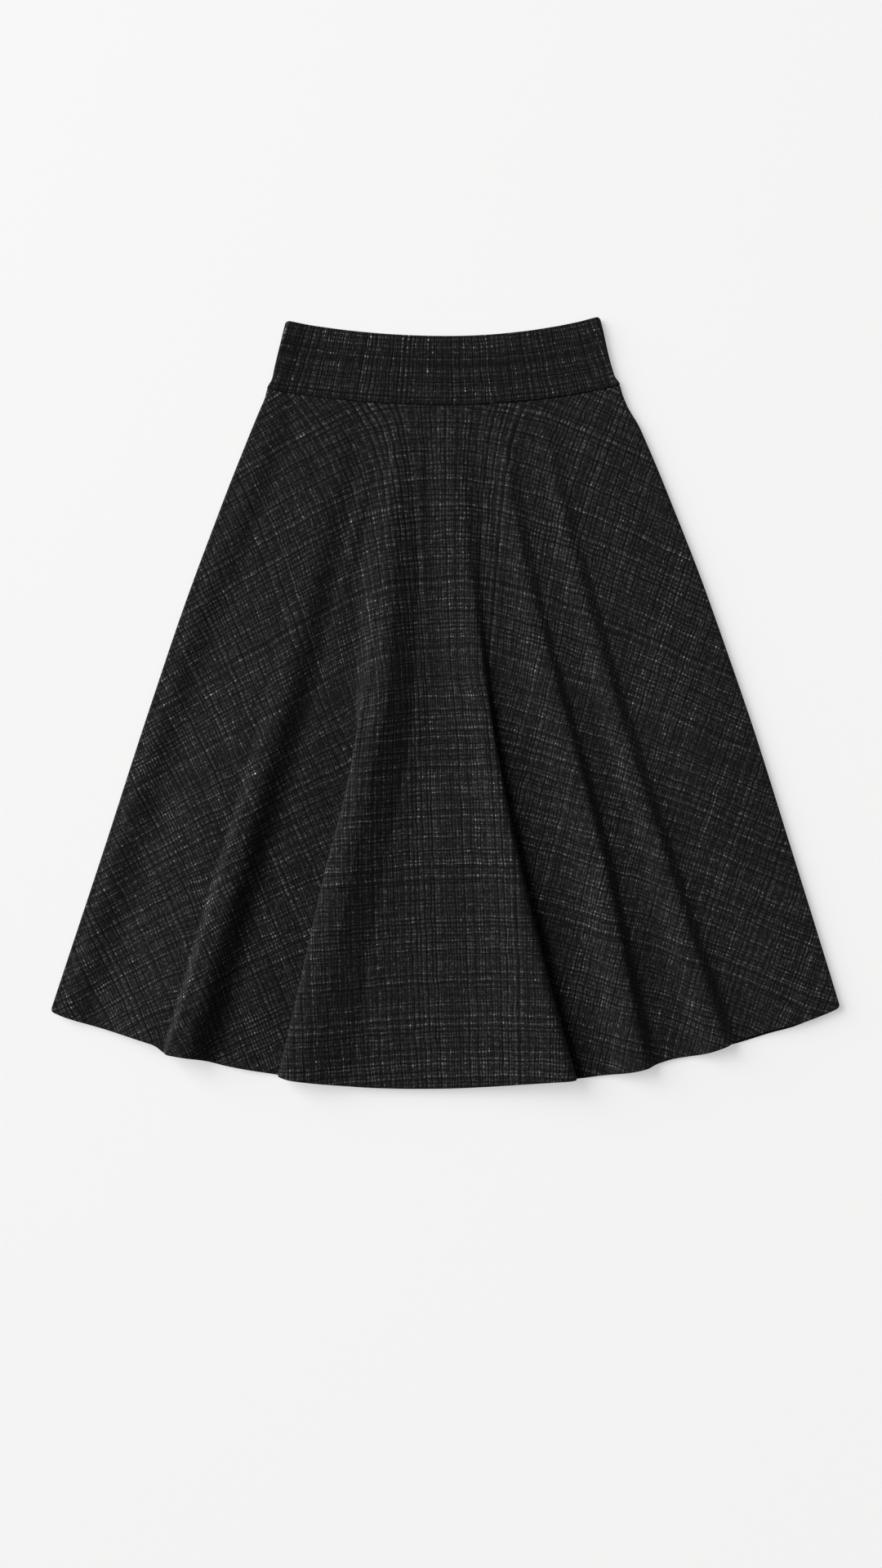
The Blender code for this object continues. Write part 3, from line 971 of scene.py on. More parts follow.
        # The height of the uppermost layer over each mm across, with room for the last point
        low = path[:, 0].min()
        cells = ((dense[:, 0] - low) / MM).astype(int)
        room, below_all = 3, -1.0
        crown = np.full(cells.max() + room, below_all)
        np.maximum.at(crown, cells, dense[:, 1])
        own = ((path[:, 0] - low) / MM).astype(int)
        return path[:, 1] < crown[own] - self.cover

    def slants(self, down: float, angles: np.ndarray, points: np.ndarray) -> np.ndarray:
        """The turn of the warp from the way down the fan, along one section.

        Args:
            down: The share of the way down.
            angles: The angle of each point.
            points: The points themselves.

        Returns:
            The turn at each point, in radians.
        """
        run = np.concatenate(([0.0], np.cumsum(np.linalg.norm(np.diff(points, axis=0), axis=1))))
        stations = [run[self.marks[grain.at]] for grain in self.grain]
        turns = [smooth(DOWN, grain.turns, down) for grain in self.grain]
        turned = np.array([smooth(stations, turns, at) for at in run])
        return np.radians(angles + turned)

    def build(self) -> Object:
        """Returns:
            The finished piece.
        """
        points, slants, hidden = [], [], []
        for down in edge_stations(self.fan.length, self.rows, self.crowding, self.fine):
            section = self.section(down)
            distance = self.fan.down_distance(down)
            tuck = self.seam_tuck * (1 - ease(down * self.fan.length / self.tuck_reach))
            row = self.row([(angle, height - tuck) for angle, height in section], distance, down)
            points.append(row)
            slants.append(self.slants(down, np.array(section)[:, 0], np.array(row)))
            hidden.append(self.covered(np.array(section) * (math.radians(distance), 1.0)))
        points = np.array(points)
        self.creasing.shape(self.fan, points)
        places = ThreadLayer().lay(points, np.array(slants), np.array(hidden))
        piece = ClothSheet("front_panel", points, places, self.cloth, self.rounding).build()
        piece.data.materials.append(self.finish)
        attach(piece, "root")
        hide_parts("skirt_front")
        return piece


@dataclass(frozen=True)
class Lift:
    """A soft groove in the back's underside, where it lifts with a flute of the front.

    Attributes:
        angles: Its angle at each share of the way down.
        heights: Its height there, in mm.
        half_width: From its middle to where the cloth lies flat.
    """

    angles: tuple
    heights: tuple
    half_width: float


@dataclass
class BackPanel(Panel):
    """The back of the skirt, which lies flat on the floor but for its soft lifts.

    Attributes:
        cut: The width and length of the cut of what lies here, and its area; not used here.
        rounding: The reach of the rounding at the waist seam, the hem and the sides.
        rows: The even parts from the waist seam to the hem.
        fine: Distances from the waist seam and the hem, in mm, that get a row of their own.
        lift_steps: The parts of each half of a lift.
        flat_steps: The parts of each flat stretch between two lifts.
        lifts: The lifts from left to right.
    """

    drops: Drops = Drops(
        angles=(
            -20.0, -15.5, -13.8, -11.0, -4.0, 3.0, 5.2, 6.8, 8.8, 10.8, 12.9, 13.8, 15.4, 17.0, 18.2, 20.0,
        ),
        lengths=(
            -1.2, -4.0, -4.0, -0.6, 0.8, -1.4, 0.0, 0.7, 0.6, -3.2, -2.2, -0.7, -0.4, 2.1, 0.4, -1.4,
        ),
    )
    cut: tuple[float, float, float] = (0.839, 0.744, 0.455)
    rounding: tuple[float, float, float] = (0.8 * MM, 0.8 * MM, 0.8 * MM)
    rows: int = 84
    fine: tuple = (0.15, 0.4, 0.8, 1.6, 3.0)
    lift_steps: int = 8
    flat_steps: int = 12
    lifts: tuple = (
        Lift((-11.7, -11.6, -11.9, -12.2, -12.5, -12.8), (0, 0.5, 3.5, 5.0, 6.5, 8.0), half_width=20 * MM),
        Lift((0.0, 0.0, 0.7, 0.3, -0.2, 0.45), (0, 1.0, 3.0, 3.5, 3.5, 3.0), half_width=18 * MM),
        Lift((5.6, 5.6, 6.8, 7.7, 8.3, 8.9), (0, 0.3, 2.5, 3.5, 4.5, 6.0), half_width=15 * MM),
        Lift((9.8, 9.8, 10.8, 11.4, 12.1, 12.9), (0, 0.5, 2.5, 3.0, 4.0, 5.0), half_width=15 * MM),
    )

    def flat(self, start: float, end: float) -> Section:
        """Points between two places across, where the cloth lies on the floor."""
        inside = range(1, self.flat_steps)
        return [(start + (end - start) * step / self.flat_steps, self.cloth / 2) for step in inside]

    def section(self, down: float) -> Section:
        """The section at a share of the way down.

        Args:
            down: The share of the way from the waist seam to the hem.

        Returns:
            Points as (angle, height), from the left seam to the right seam.
        """
        distance = self.fan.down_distance(down)
        degree = math.radians(distance)
        rest = self.cloth / 2
        path, right_roll = self.rolled_ends(distance, self.roll.seam - GAP / 2, rest)
        for lift in self.lifts:
            middle = smooth(DOWN, lift.angles, down) * degree
            height = smooth(DOWN, lift.heights, down) * MM
            path += self.flat(path[-1][0], middle - lift.half_width)
            for i in range(-self.lift_steps, self.lift_steps + 1):
                share = i / self.lift_steps
                rise = height * math.cos(math.pi / 2 * share) ** 2
                path.append((middle + lift.half_width * share, rest + rise))
        path += self.flat(path[-1][0], right_roll[0][0]) + right_roll
        return [(x / degree, z) for x, z in path]

    def build(self) -> Object:
        """Returns:
            The finished piece.
        """
        points = []
        for down in edge_stations(self.fan.length, self.rows, self.crowding, self.fine):
            points.append(self.row(self.section(down), self.fan.down_distance(down), down))
        points = np.array(points)
        self.creasing.shape(self.fan, points)
        places = points[..., :2].copy()
        sheet = ClothSheet("back_panel", points, places, self.cloth, self.rounding, underside=0.0)
        piece = sheet.build()
        piece.data.materials.append(self.finish)
        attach(piece, "root")
        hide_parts("skirt_back")
        return piece


class Side(Enum):
    """The front or the back of the waistband."""

    FRONT = "front"
    BACK = "back"


@dataclass
class WaistbandPiece(LaidPiece):
    """One half of the waistband, a slightly curved strip of doubled cloth.

    Attributes:
        side: Which half it is.
        cloth: The strip's thickness.
        cut: The width and length of the cut, and its area; not used here.
        rounding: The reach of the rounding at the top edge, the waist seam and the sides.
        corner: The radius of its two upper corners.
        hollow: From the band's edge in to where it lies flat.
        mean_radius: The distance from the fan's centre that its threads are spaced at.
        rows: The even parts from its top edge to the waist seam.
        fine: Distances from both of them, in mm, that get a row of their own.
        columns: The parts from side to side.
    """

    side: Side
    cloth: float = 2.4 * MM
    cut: tuple[float, float, float] = (0.374, 0.090, 0.0257)
    rounding: tuple[float, float, float] = (1.2 * MM, 1.2 * MM, 1.0 * MM)
    corner: float = 3.0 * MM
    hollow: float = 22.0 * MM
    mean_radius: float = 520.0 * MM
    rows: int = 24
    fine: tuple = (0.1, 0.3, 0.6, 0.9, 1.2, 1.8)
    columns: int = 110

    def edges(self, angle: float, offset: float) -> tuple[float, float]:
        """The distances of the top edge and the waist seam, at an angle and an offset from its side."""
        top = self.fan.band_top.at(angle) + corner_cut(offset, self.corner)
        return top, self.fan.waist_seam.at(angle) - GAP / 2

    def section(self, distance: float) -> Section:
        """The section at a distance from the fan's centre.

        Args:
            distance: The distance, at centre front.

        Returns:
            Points as (angle, height), from the left seam to the right seam.
        """
        front = self.side is Side.FRONT
        # The middle of the cloth where it rests on the back piece, or on the floor
        rest = self.cloth * 1.5 + GAP if front else self.cloth / 2
        seam = self.roll.seam + (GAP / 2 if front else -GAP / 2)
        level = seam + self.roll.stand + self.roll.front if front else rest
        path, right_roll = self.rolled_ends(distance, seam, level)
        start, end = path[-1][0], right_roll[0][0]
        for step in range(1, self.columns):
            x = start + (end - start) * step / self.columns
            inside = ease(min(x - start, end - x) / self.hollow)
            path.append((x, level + (rest - level) * inside))
        path += right_roll
        return [(x / math.radians(distance), z) for x, z in path]

    def build(self) -> Object:
        """Returns:
            The finished piece.
        """
        front = self.side is Side.FRONT
        upper = self.fan.band_top.middle
        length = self.fan.waist_seam.middle - upper
        points, places = [], []
        for down in edge_stations(length, self.rows, 1.0, self.fine):
            distance = upper + down * length
            section = self.section(distance)
            points.append(self.row(section, distance, down))
            places.append([(math.radians(angle) * self.mean_radius, -distance) for angle, _ in section])
        sheet = ClothSheet(
            f"{self.side.value}_waistband",
            np.array(points),
            np.array(places),
            self.cloth,
            self.rounding,
            underside=None if front else 0.0,
        )
        piece = sheet.build()
        piece.data.materials.append(self.finish)
        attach(piece, "root")
        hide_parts(f"waistband_{self.side.value}")
        return piece


# Painted shade: a black cord along the waist seam, in place of the shadow that the waistband casts into the
# seam's ditch.
@dataclass
class SeamShadeCord:
    """Painted shade: a dark cord in the ditch of the front's waist seam, between the waistband and the panel,
    that stands in for the shadow line there.

    Attributes:
        panel: The front panel, whose upper edge the cord follows.
        finish: The cord's material, a painted black shade.
        radius: The cord's radius.
        lift: How far it lies above the middle of the panel's edge.
        sides: The sides of its section.
    """

    panel: FrontPanel
    finish: Material
    radius: float = 0.65 * MM
    lift: float = 0.5 * MM
    sides: int = 6

    def ring(self, angle: float, height: float) -> list[Spot]:
        """One ring of the thread's mesh.

        Args:
            angle: The angle of a point of the panel's upper edge.
            height: That point's height before the seam pulls it down.

        Returns:
            The points round the cord there.
        """
        points = []
        level = height - self.panel.seam_tuck + self.lift
        for step in range(self.sides):
            turn = math.tau * step / self.sides
            distance = self.panel.fan.waist_seam.at(angle) + self.radius * math.cos(turn)
            points.append(self.panel.fan.place(distance, angle, level + self.radius * math.sin(turn)))
        return points

    def build(self) -> Object:
        """Makes and dresses the cord of painted shade, from where one side roll ends to where the other
        begins.

        Returns:
            The finished piece.
        """
        # A roll has two upright points before those of its quarter turn
        roll_end = self.panel.roll.steps + 2
        rings = [self.ring(*place) for place in self.panel.section(0.0)[roll_end:-roll_end]]
        count, sides = len(rings), self.sides
        faces = [tuple(range(sides)), tuple(reversed(range((count - 1) * sides, count * sides)))]
        for near in range(0, (count - 1) * sides, sides):
            far = near + sides
            for j in range(sides):
                after = (j + 1) % sides
                faces.append((near + j, far + j, far + after, near + after))
        mesh = bpy.data.meshes.new("waist_seam_shade_cord")
        mesh.from_pydata([point for ring in rings for point in ring], [], faces)
        mesh.shade_smooth()
        piece = placed(mesh.name, mesh)
        piece.data.materials.append(self.finish)
        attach(piece, "root")
        return piece


@dataclass
class NodeDesk:
    """Places and links the nodes of one shader tree.

    Attributes:
        tree: The tree that the nodes go into.
    """

    tree: NodeTree

    def feed(self, node: bpy.types.Node, inputs: dict) -> None:
        """Sets or links a node's inputs.

        Args:
            node: The node.
            inputs: A value or another node's socket for each input, by name or number.
        """
        for key, value in inputs.items():
            if isinstance(value, NodeSocket):
                self.tree.links.new(value, node.inputs[key])
            else:
                node.inputs[key].default_value = value

    def put(self, kind: str, inputs: dict, **settings: object) -> bpy.types.Node:
        """Adds a node.

        Args:
            kind: The node's type.
            inputs: A value or another node's socket for each input, by name or number.
            **settings: The node's own properties.

        Returns:
            The node.
        """
        node = self.tree.nodes.new(kind)
        for name, value in settings.items():
            setattr(node, name, value)
        self.feed(node, inputs)
        return node

    def math(self, operation: str, *values: object) -> NodeSocket:
        """The result of one step of arithmetic on numbers or sockets."""
        return self.put("ShaderNodeMath", dict(enumerate(values)), operation=operation).outputs[0]

    def times(self, *factors: object) -> NodeSocket:
        """The product of two or more values."""
        return reduce(partial(self.math, "MULTIPLY"), factors)

    def weighted(self, *parts: tuple[object, object]) -> NodeSocket:
        """The sum of some values, each given with its weight."""
        return reduce(partial(self.math, "ADD"), [self.times(*part) for part in parts])

    def ramp(self, value: NodeSocket, start: object, end: object) -> NodeSocket:
        """A soft step from 0 to 1 as the value goes from start to end."""
        inputs = {"Value": value, "From Min": start, "From Max": end}
        return self.put("ShaderNodeMapRange", inputs, interpolation_type="SMOOTHSTEP").outputs[0]

    def noise(self, x: object, y: object, detail: float = 0.0) -> NodeSocket:
        """Soft noise over a flat surface.

        Args:
            x: The place across it.
            y: The place along it.
            detail: How many finer rounds of noise are laid over the first.

        Returns:
            The noise, from -0.5 to 0.5.
        """
        point = self.put("ShaderNodeCombineXYZ", {0: x, 1: y}).outputs[0]
        inputs = {"Vector": point, "Scale": 1.0, "Detail": detail}
        noise = self.put("ShaderNodeTexNoise", inputs, noise_dimensions="2D")
        return self.math("SUBTRACT", noise.outputs["Fac"], 0.5)

    def cells(self, at: object, pitch: object, jitter: float) -> tuple[NodeSocket, NodeSocket]:
        """Threads side by side at uneven distances.

        Args:
            at: The place across the threads, in mm.
            pitch: The mean distance between two threads, in mm.
            jitter: How uneven the distances are, from 0 to 1.

        Returns:
            The distance to the nearest thread, in mm, and a number from 0 to 1 for each thread.
        """
        share = self.math("DIVIDE", at, pitch)
        inputs = {"W": share, "Scale": 1.0, "Randomness": jitter}
        nearest = self.put("ShaderNodeTexVoronoi", inputs, voronoi_dimensions="1D", feature="F1")
        number = self.put("ShaderNodeSeparateColor", {0: nearest.outputs["Color"]}).outputs[0]
        return self.times(nearest.outputs["Distance"], pitch), number


def dull_material(name: str, inputs: dict) -> Material:
    """Makes a material.

    Args:
        name: The material's name.
        inputs: The value of each of its shader's inputs that isn't left as it is.

    Returns:
        The material.
    """
    material = bpy.data.materials.new(name)
    material.use_nodes = True
    NodeDesk(material.node_tree).feed(material.node_tree.nodes[SHADER], inputs)
    return material


@dataclass(frozen=True)
class ThreadWay:
    """The threads that run one way through the weave. Distances are in mm, and rates for each mm.

    Attributes:
        name: What the weave's sockets call them.
        jitter: How uneven their distances are, from 0 to 1.
        slub_rate: How fast a thread's slubs follow each other.
        slub_seed: What sets one thread's slubs apart from the next one's.
        body: From a thread's middle, where it begins to show and where it shows in full.
        light: The chance at which a thread begins to be light, and at which it is.
        crossing: From its middle, where it begins to bring out a light thread that crosses it, and
            where it does so in full.
        brought_out: How much brighter the light thread is there, and how bright it is elsewhere.
        dark_shift: What sets the dark lines apart from the threads.
        dark_rate: How fast a dark line's gaps follow each other.
        dark_seed: What sets one dark line's gaps apart from the next one's.
    """

    name: str
    jitter: float
    slub_rate: float
    slub_seed: float
    body: tuple[float, float]
    light: tuple[float, float]
    crossing: tuple[float, float]
    brought_out: tuple[float, float]
    dark_shift: float
    dark_rate: float
    dark_seed: float


@dataclass(frozen=True)
class SlubWeave:
    """The loose crosshatch of fine grey slub threads on a charcoal ground, as a node group.

    Distances are in mm. Rates are for each mm, across the warp and along it.

    Attributes:
        name: The group's name.
        warp: The threads that run down the cloth.
        weft: The threads that run across it.
        sway: How far the threads sway.
        sway_rate: How fast they do.
        number_weight: How much a thread's own number adds to its chance of being light.
        light_body: From a light thread's middle, where it begins to show and where it is full.
        dark_jitter: How uneven the dark lines' distances are.
        dark_body: As light_body, for the dark lines.
        dark_gaps: The chance at which a dark line begins to show, and at which it is full.
        warp_fibres: The rates of the fine fibres along the warp.
        weft_fibres: The rates of the fine fibres across it.
        grain: The rates of the fine grain.
        beads: The rates of the small beads.
        patches: The rates of the broad soft patches.
        shine_tone: How much the light threads add to the tone.
        dark_tone: How much the dark lines add to it.
        ground_tone: What is taken from the tone all over.
        dark_height: How much the dark lines add to the height.
    """

    name: str = "slub_weave"
    warp: ThreadWay = ThreadWay(
        "Warp",
        jitter=0.5,
        slub_rate=0.085,
        slub_seed=97.0,
        body=(1.45, 0.35),
        light=(0.24, 0.44),
        crossing=(1.2, 0.3),
        brought_out=(1.0, 0.12),
        dark_shift=31.7,
        dark_rate=0.035,
        dark_seed=71.0,
    )
    weft: ThreadWay = ThreadWay(
        "Weft",
        jitter=0.55,
        slub_rate=0.065,
        slub_seed=83.0,
        body=(1.7, 0.4),
        light=(0.2, 0.4),
        crossing=(1.5, 0.4),
        brought_out=(0.9, 0.25),
        dark_shift=17.3,
        dark_rate=0.03,
        dark_seed=59.0,
    )
    sway: float = 3.2
    sway_rate: float = 0.045
    number_weight: float = 0.42
    light_body: tuple[float, float] = (0.9, 0.2)
    dark_jitter: float = 0.7
    dark_body: tuple[float, float] = (0.75, 0.25)
    dark_gaps: tuple[float, float] = (-0.28, 0.06)
    warp_fibres: tuple[float, float] = (0.95, 0.16)
    weft_fibres: tuple[float, float] = (0.16, 0.95)
    grain: tuple[float, float] = (0.62, 0.62)
    beads: tuple[float, float] = (0.4, 0.36)
    patches: tuple[float, float] = (0.12, 0.1)
    shine_tone: float = 0.95
    dark_tone: float = -1.6
    ground_tone: float = 1.3
    dark_height: float = -0.6

    def group(self, settings: dict[str, float]) -> NodeTree:
        """Makes the group, or finds it where it has been made.

        Args:
            settings: The name and the first value of each input that sets the threads.

        Returns:
            The group, whose inputs set the pitches and strengths of the threads.
        """
        if self.name in bpy.data.node_groups:
            return bpy.data.node_groups[self.name]
        tree = bpy.data.node_groups.new(self.name, "ShaderNodeTree")
        sockets = tree.interface
        sockets.new_socket("Place", in_out="INPUT", socket_type="NodeSocketVector")
        for name, value in settings.items():
            socket = sockets.new_socket(name, in_out="INPUT", socket_type="NodeSocketFloat")
            socket.default_value = value
        for name in ("Tone", "Height"):
            sockets.new_socket(name, in_out="OUTPUT", socket_type="NodeSocketFloat")
        self.wire(NodeDesk(tree))
        return tree

    def threads(
        self, desk: NodeDesk, way: ThreadWay, across: NodeSocket, along: NodeSocket, given: NodeOutputs
    ) -> tuple[NodeSocket, ...]:
        """Draws the threads that run one way.

        Args:
            desk: The group's desk.
            way: The threads.
            across: The place across them.
            along: The place along them.
            given: The group's inputs.

        Returns:
            A number for each thread, its body, where it is light, how much it brings out a light
            thread that crosses it, and the dark lines.
        """
        away, number = desk.cells(across, given[f"{way.name} Pitch"], way.jitter)
        slub = desk.noise(desk.times(along, way.slub_rate), desk.times(number, way.slub_seed), 2.0)
        chance = desk.math("MULTIPLY_ADD", number, self.number_weight, slub)
        light = desk.times(desk.ramp(chance, *way.light), desk.ramp(away, *self.light_body))
        crossing = desk.math("MULTIPLY_ADD", desk.ramp(away, *way.crossing), *way.brought_out)
        shifted = desk.math("ADD", across, way.dark_shift)
        dark_away, dark_number = desk.cells(shifted, given[f"Dark {way.name} Pitch"], self.dark_jitter)
        gap = desk.noise(desk.times(along, way.dark_rate), desk.times(dark_number, way.dark_seed), 1.0)
        dark = desk.times(desk.ramp(dark_away, *self.dark_body), desk.ramp(gap, *self.dark_gaps))
        return number, desk.ramp(away, *way.body), light, crossing, dark

    def wire(self, desk: NodeDesk) -> None:
        """Fills the group.

        Args:
            desk: The group's desk.
        """
        given = desk.put("NodeGroupInput", {}).outputs
        split = desk.put("ShaderNodeSeparateXYZ", {0: given["Place"]}).outputs
        u_even, v_even = desk.times(split[0], 1 / MM), desk.times(split[1], 1 / MM)
        u_far, v_far = desk.times(u_even, self.sway_rate), desk.times(v_even, self.sway_rate)
        u = desk.math("MULTIPLY_ADD", desk.noise(u_far, v_far, 2.0), self.sway, u_even)
        v = desk.math("MULTIPLY_ADD", desk.noise(v_far, u_far, 2.0), self.sway, v_even)

        def mottle(rates: tuple[float, float], detail: float = 0.0) -> NodeSocket:
            """Soft noise over the cloth, which changes at these rates."""
            return desk.noise(desk.times(u, rates[0]), desk.times(v, rates[1]), detail)

        warp, warp_body, warp_light, warp_crossing, warp_dark = self.threads(desk, self.warp, u, v, given)
        weft, weft_body, weft_light, weft_crossing, weft_dark = self.threads(desk, self.weft, v, u, given)
        weft_shine = desk.times(weft_light, warp_crossing, given["Light Weft"])
        warp_shine = desk.times(warp_light, weft_crossing, given["Light Warp"])
        shine = desk.math("ADD", weft_shine, warp_shine)
        dark = desk.times(desk.math("ADD", warp_dark, weft_dark), given["Dark Lines"])
        grain = mottle(self.grain, 1.0)
        cloth = desk.weighted(
            (warp_body, 0.95),
            (weft_body, 0.65),
            (warp, 0.35),
            (weft, 0.35),
            (mottle(self.warp_fibres), 1.4),
            (mottle(self.weft_fibres), 1.1),
            (desk.math("ADD", grain, mottle(self.beads)), given["Grain"]),
            (mottle(self.patches, 1.0), 1.2),
        )
        lit = desk.math("ADD", cloth, desk.times(shine, self.shine_tone))
        level = desk.math("MULTIPLY_ADD", dark, self.dark_tone, lit)
        tone = desk.math("EXPONENT", desk.math("SUBTRACT", level, self.ground_tone))
        raised = desk.weighted((warp_body, 0.5), (weft_body, 0.4), (shine, 0.8), (grain, 0.9))
        height = desk.math("MULTIPLY_ADD", dark, self.dark_height, raised)
        desk.put("NodeGroupOutput", {"Tone": tone, "Height": height})


@dataclass(frozen=True)
class Suiting:
    """A finish: charcoal wool-blend cloth with a loose crosshatch of grey slub threads.

    Attributes:
        name: The material's name.
        colour: The ground's colour.
        roughness: Its roughness.
        smoothing: How much its roughness gains where the weave stands high.
        specular: The strength of its gloss.
        sheen: The strength of its nap's sheen.
        sheen_roughness: The roughness of that sheen.
        sheen_tint: The colour of that sheen.
        warp_pitch: The distance between two warp threads that show, in mm.
        weft_pitch: The same across.
        light_warp: How much the light warp threads stand out.
        light_weft: How much the light weft threads stand out.
        dark_lines: How dark the lines between the threads are.
        dark_warp_pitch: The distance between two dark lines along the warp, in mm.
        dark_weft_pitch: The same across.
        grain: The strength of the fine grain.
        relief: The depth of the weave.
        relief_strength: How much of that depth shows.
    """

    name: str
    colour: Colour
    roughness: float = 0.9
    smoothing: float = -0.06
    specular: float = 0.12
    sheen: float = 0.12
    sheen_roughness: float = 0.5
    sheen_tint: Colour = (0.5, 0.5, 0.52)
    warp_pitch: float = 3.2
    weft_pitch: float = 4.2
    light_warp: float = 0.8
    light_weft: float = 1.0
    dark_lines: float = 1.0
    dark_warp_pitch: float = 5.1
    dark_weft_pitch: float = 5.2
    grain: float = 1.9
    relief: float = 0.35 * MM
    relief_strength: float = 0.6

    def make(self) -> Material:
        """Makes the material.

        Returns:
            The material, which reads the threads' places from the piece's UV map.
        """
        material = dull_material(
            self.name,
            {
                "Specular IOR Level": self.specular,
                "Sheen Weight": self.sheen,
                "Sheen Roughness": self.sheen_roughness,
                "Sheen Tint": (*self.sheen_tint, 1.0),
            },
        )
        settings = {
            "Warp Pitch": self.warp_pitch,
            "Weft Pitch": self.weft_pitch,
            "Light Warp": self.light_warp,
            "Light Weft": self.light_weft,
            "Dark Lines": self.dark_lines,
            "Dark Warp Pitch": self.dark_warp_pitch,
            "Dark Weft Pitch": self.dark_weft_pitch,
            "Grain": self.grain,
        }
        desk = NodeDesk(material.node_tree)
        place = desk.put("ShaderNodeUVMap", {}, uv_map=THREADS).outputs[0]
        group = SlubWeave().group(settings)
        weave = desk.put("ShaderNodeGroup", {}, node_tree=group)
        desk.feed(weave, {"Place": place, **settings})
        tone, height = weave.outputs["Tone"], weave.outputs["Height"]
        colours = {"Factor": 1.0, 6: (*self.colour, 1.0), 7: tone}
        tinted = desk.put("ShaderNodeMix", {}, data_type="RGBA", blend_type="MULTIPLY")
        desk.feed(tinted, colours)
        relief = {"Height": height, "Distance": self.relief, "Strength": self.relief_strength}
        ground = {
            "Base Color": tinted.outputs[2],
            "Roughness": desk.math("MULTIPLY_ADD", height, self.smoothing, self.roughness),
            "Normal": desk.put("ShaderNodeBump", relief).outputs[0],
        }
        desk.feed(material.node_tree.nodes[SHADER], ground)
        return material


# Painted shade: a near-black colour that stands in for the shadow in the seam's ditch.
@dataclass(frozen=True)
class PaintedSeamShade:
    """A finish: dull black, painted shade for the shadow line in the waist seam's ditch."""

    name: str = "painted_seam_shade"
    colour: Colour = (0.003, 0.003, 0.0032)
    roughness: float = 0.95
    specular: float = 0.1

    def make(self) -> Material:
        """Makes the material.

        Returns:
            The material, which is plain all over.
        """
        return dull_material(
            self.name,
            {
                "Base Color": (*self.colour, 1.0),
                "Roughness": self.roughness,
                "Specular IOR Level": self.specular,
            },
        )


@dataclass(frozen=True)
class PaleFloor:
    """The plain pale floor under the skirt.

    Attributes:
        size: Its width and length.
        drop: How far it lies below the skirt.
        colour: Its colour.
        glow: The light that comes through it, which keeps the skirt's shadow faint.
        roughness: Its roughness.
        specular: The strength of its gloss.
    """

    size: float = 16.0
    drop: float = 0.2 * MM
    colour: Colour = (0.45, 0.4485, 0.4475)
    glow: Colour = (0.462, 0.460, 0.459)
    roughness: float = 0.95
    specular: float = 0.1

    def build(self) -> Object:
        """Makes the floor.

        Returns:
            The floor, which isn't part of the object.
        """
        bpy.ops.mesh.primitive_plane_add(size=self.size, location=(0.0, 0.0, -self.drop))
        floor = bpy.context.object
        floor.name = "floor"
        surface = {
            "Base Color": (*self.colour, 1.0),
            "Emission Color": (*self.glow, 1.0),
            "Emission Strength": 1.0,
            "Roughness": self.roughness,
            "Specular IOR Level": self.specular,
        }
        floor.data.materials.append(dull_material("pale_floor", surface))
        return floor


@dataclass(frozen=True)
class Lamp:
    """A soft light that looks at the skirt's middle.

    Attributes:
        name: The light's name.
        place: Where it stands.
        power: Its strength.
    """

    name: str
    place: Spot
    power: float

    def hang(self, light: bpy.types.Light) -> Object:
        """Puts a light in its place and turns it to the skirt.

        Args:
            light: The light.

        Returns:
            The light's object.
        """
        light.energy = self.power
        lamp = placed(self.name, light)
        lamp.location = self.place
        lamp.rotation_euler = (-Vector(self.place)).to_track_quat("-Z", "Y").to_euler()
        return lamp


@dataclass(frozen=True)
class FarLamp(Lamp):
    """A wide light far beyond its place, which lights the whole floor alike.

    Attributes:
        spread: The angle that it fills.
    """

    spread: float

    def build(self) -> Object:
        """Makes the light.

        Returns:
            The light's object.
        """
        light = bpy.data.lights.new(self.name, "SUN")
        light.angle = math.radians(self.spread)
        return self.hang(light)


@dataclass(frozen=True)
class NearLamp(Lamp):
    """A round light near the skirt.

    Attributes:
        size: Its width.
    """

    size: float

    def build(self) -> Object:
        """Makes the light.

        Returns:
            The light's object.
        """
        light = bpy.data.lights.new(self.name, "AREA")
        light.shape = "DISK"
        light.size = self.size
        return self.hang(light)


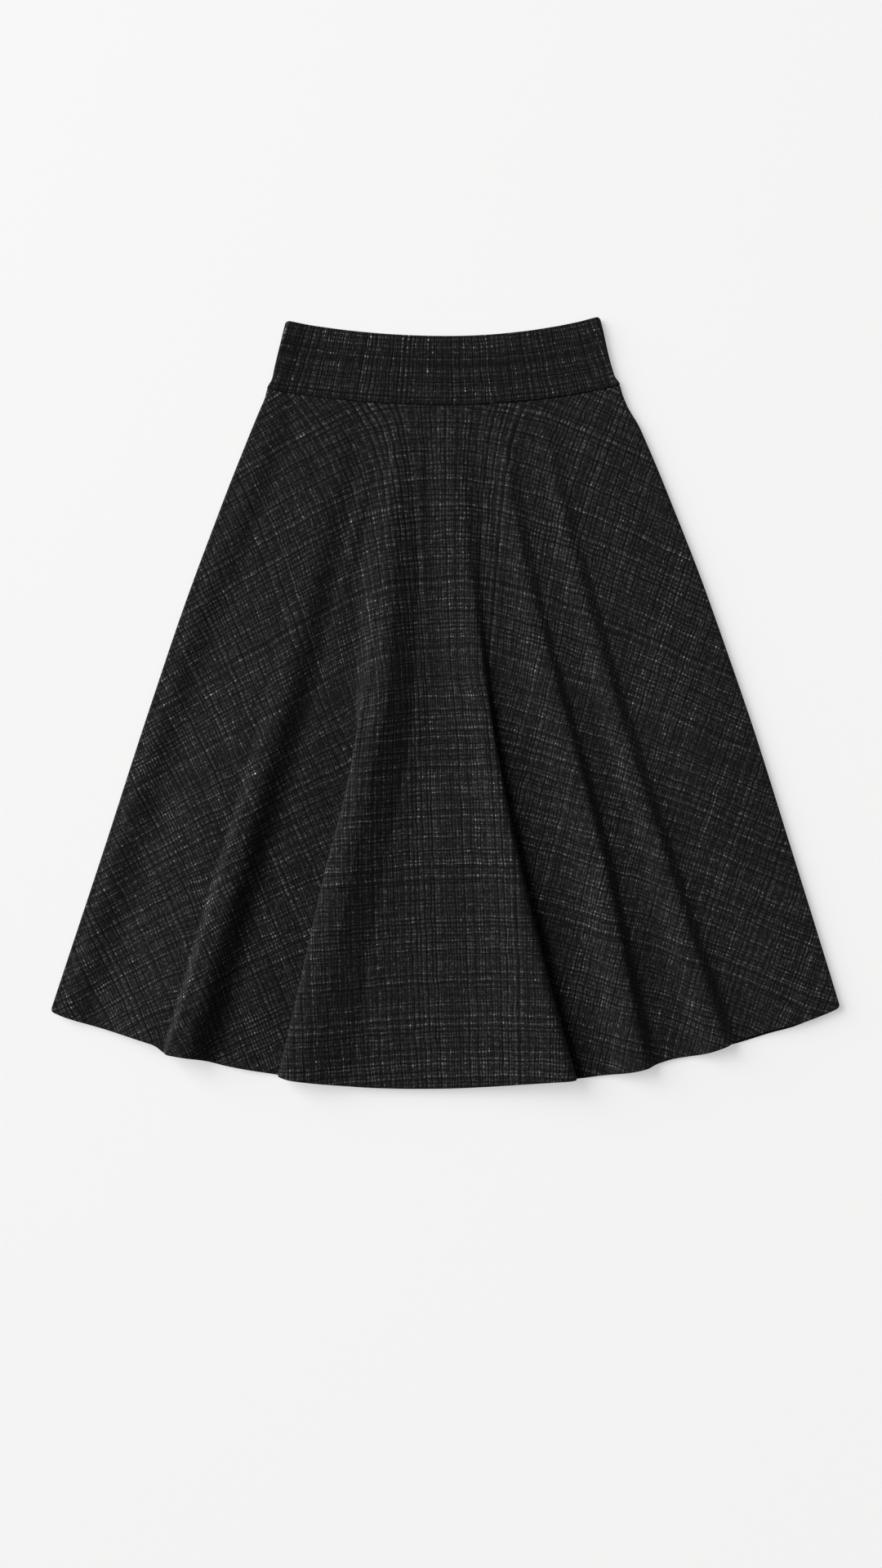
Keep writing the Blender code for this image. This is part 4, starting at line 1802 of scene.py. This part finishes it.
@dataclass(frozen=True)
class Studio:
    """The soft studio light and the camera straight above the skirt.

    Attributes:
        lamps: The lights.
        sky: The strength of the white light from all sides.
        camera_place: Where the camera stands.
        view_height: The length of the floor that it sees.
        sensor: The size of its sensor, in mm.
    """

    lamps: tuple = (
        FarLamp("key", (-3.6, 1.6, 2.2), power=4.95, spread=56.0),
        NearLamp("near_key", (-2.2, 1.5, 2.2), power=20.0, size=1.6),
    )
    sky: float = 0.13
    camera_place: Spot = (-0.0039, -0.085, 2.0)
    view_height: float = 1.665
    sensor: float = 36.0

    def build(self) -> None:
        """Makes the lights, the surrounding light and the camera."""
        scene = bpy.context.scene
        for lamp in self.lamps:
            lamp.build()
        world = bpy.data.worlds.new("studio")
        world.use_nodes = True
        sky = {"Color": (1.0, 1.0, 1.0, 1.0), "Strength": self.sky}
        NodeDesk(world.node_tree).feed(world.node_tree.nodes["Background"], sky)
        scene.world = world
        scene.view_settings.view_transform = "Standard"
        lens = bpy.data.cameras.new("camera")
        lens.sensor_width = self.sensor
        lens.lens = self.sensor * self.camera_place[2] / self.view_height
        camera = placed("camera", lens)
        camera.location = self.camera_place
        scene.camera = camera


def main() -> None:
    """Makes the finishes, builds the skirt's pieces in them and sets the stage."""
    logging.basicConfig(level=logging.INFO, format="%(name)s: %(message)s")
    bpy.ops.object.select_all(action="DESELECT")
    fan, roll, creasing = Fan(), SideRoll(), Creasing()
    skirt_cloth = Suiting("skirt_suiting", colour=(0.0121, 0.0123, 0.0125)).make()
    band_cloth = Suiting(
        "waistband_suiting",
        colour=(0.0074, 0.0076, 0.0078),
        warp_pitch=2.8,
        light_warp=1.6,
        light_weft=0.6,
        dark_lines=2.2,
        dark_warp_pitch=4.9,
        dark_weft_pitch=17.0,
    ).make()
    front = FrontPanel(fan, roll, skirt_cloth, creasing)
    for maker in (
        front,
        BackPanel(fan, roll, skirt_cloth, creasing),
        WaistbandPiece(fan, roll, band_cloth, Side.FRONT),
        WaistbandPiece(fan, roll, band_cloth, Side.BACK),
        # The waist seam's shadow line, painted as a black cord
        SeamShadeCord(front, PaintedSeamShade().make()),
    ):
        piece = maker.build()
        area = sum(face.area for face in piece.data.polygons) / 2
        log.info("%s: %d faces, %.3f m2 a side", piece.name, len(piece.data.polygons), area)
    PaleFloor().build()
    Studio().build()


if __name__ == "__main__":
    main()
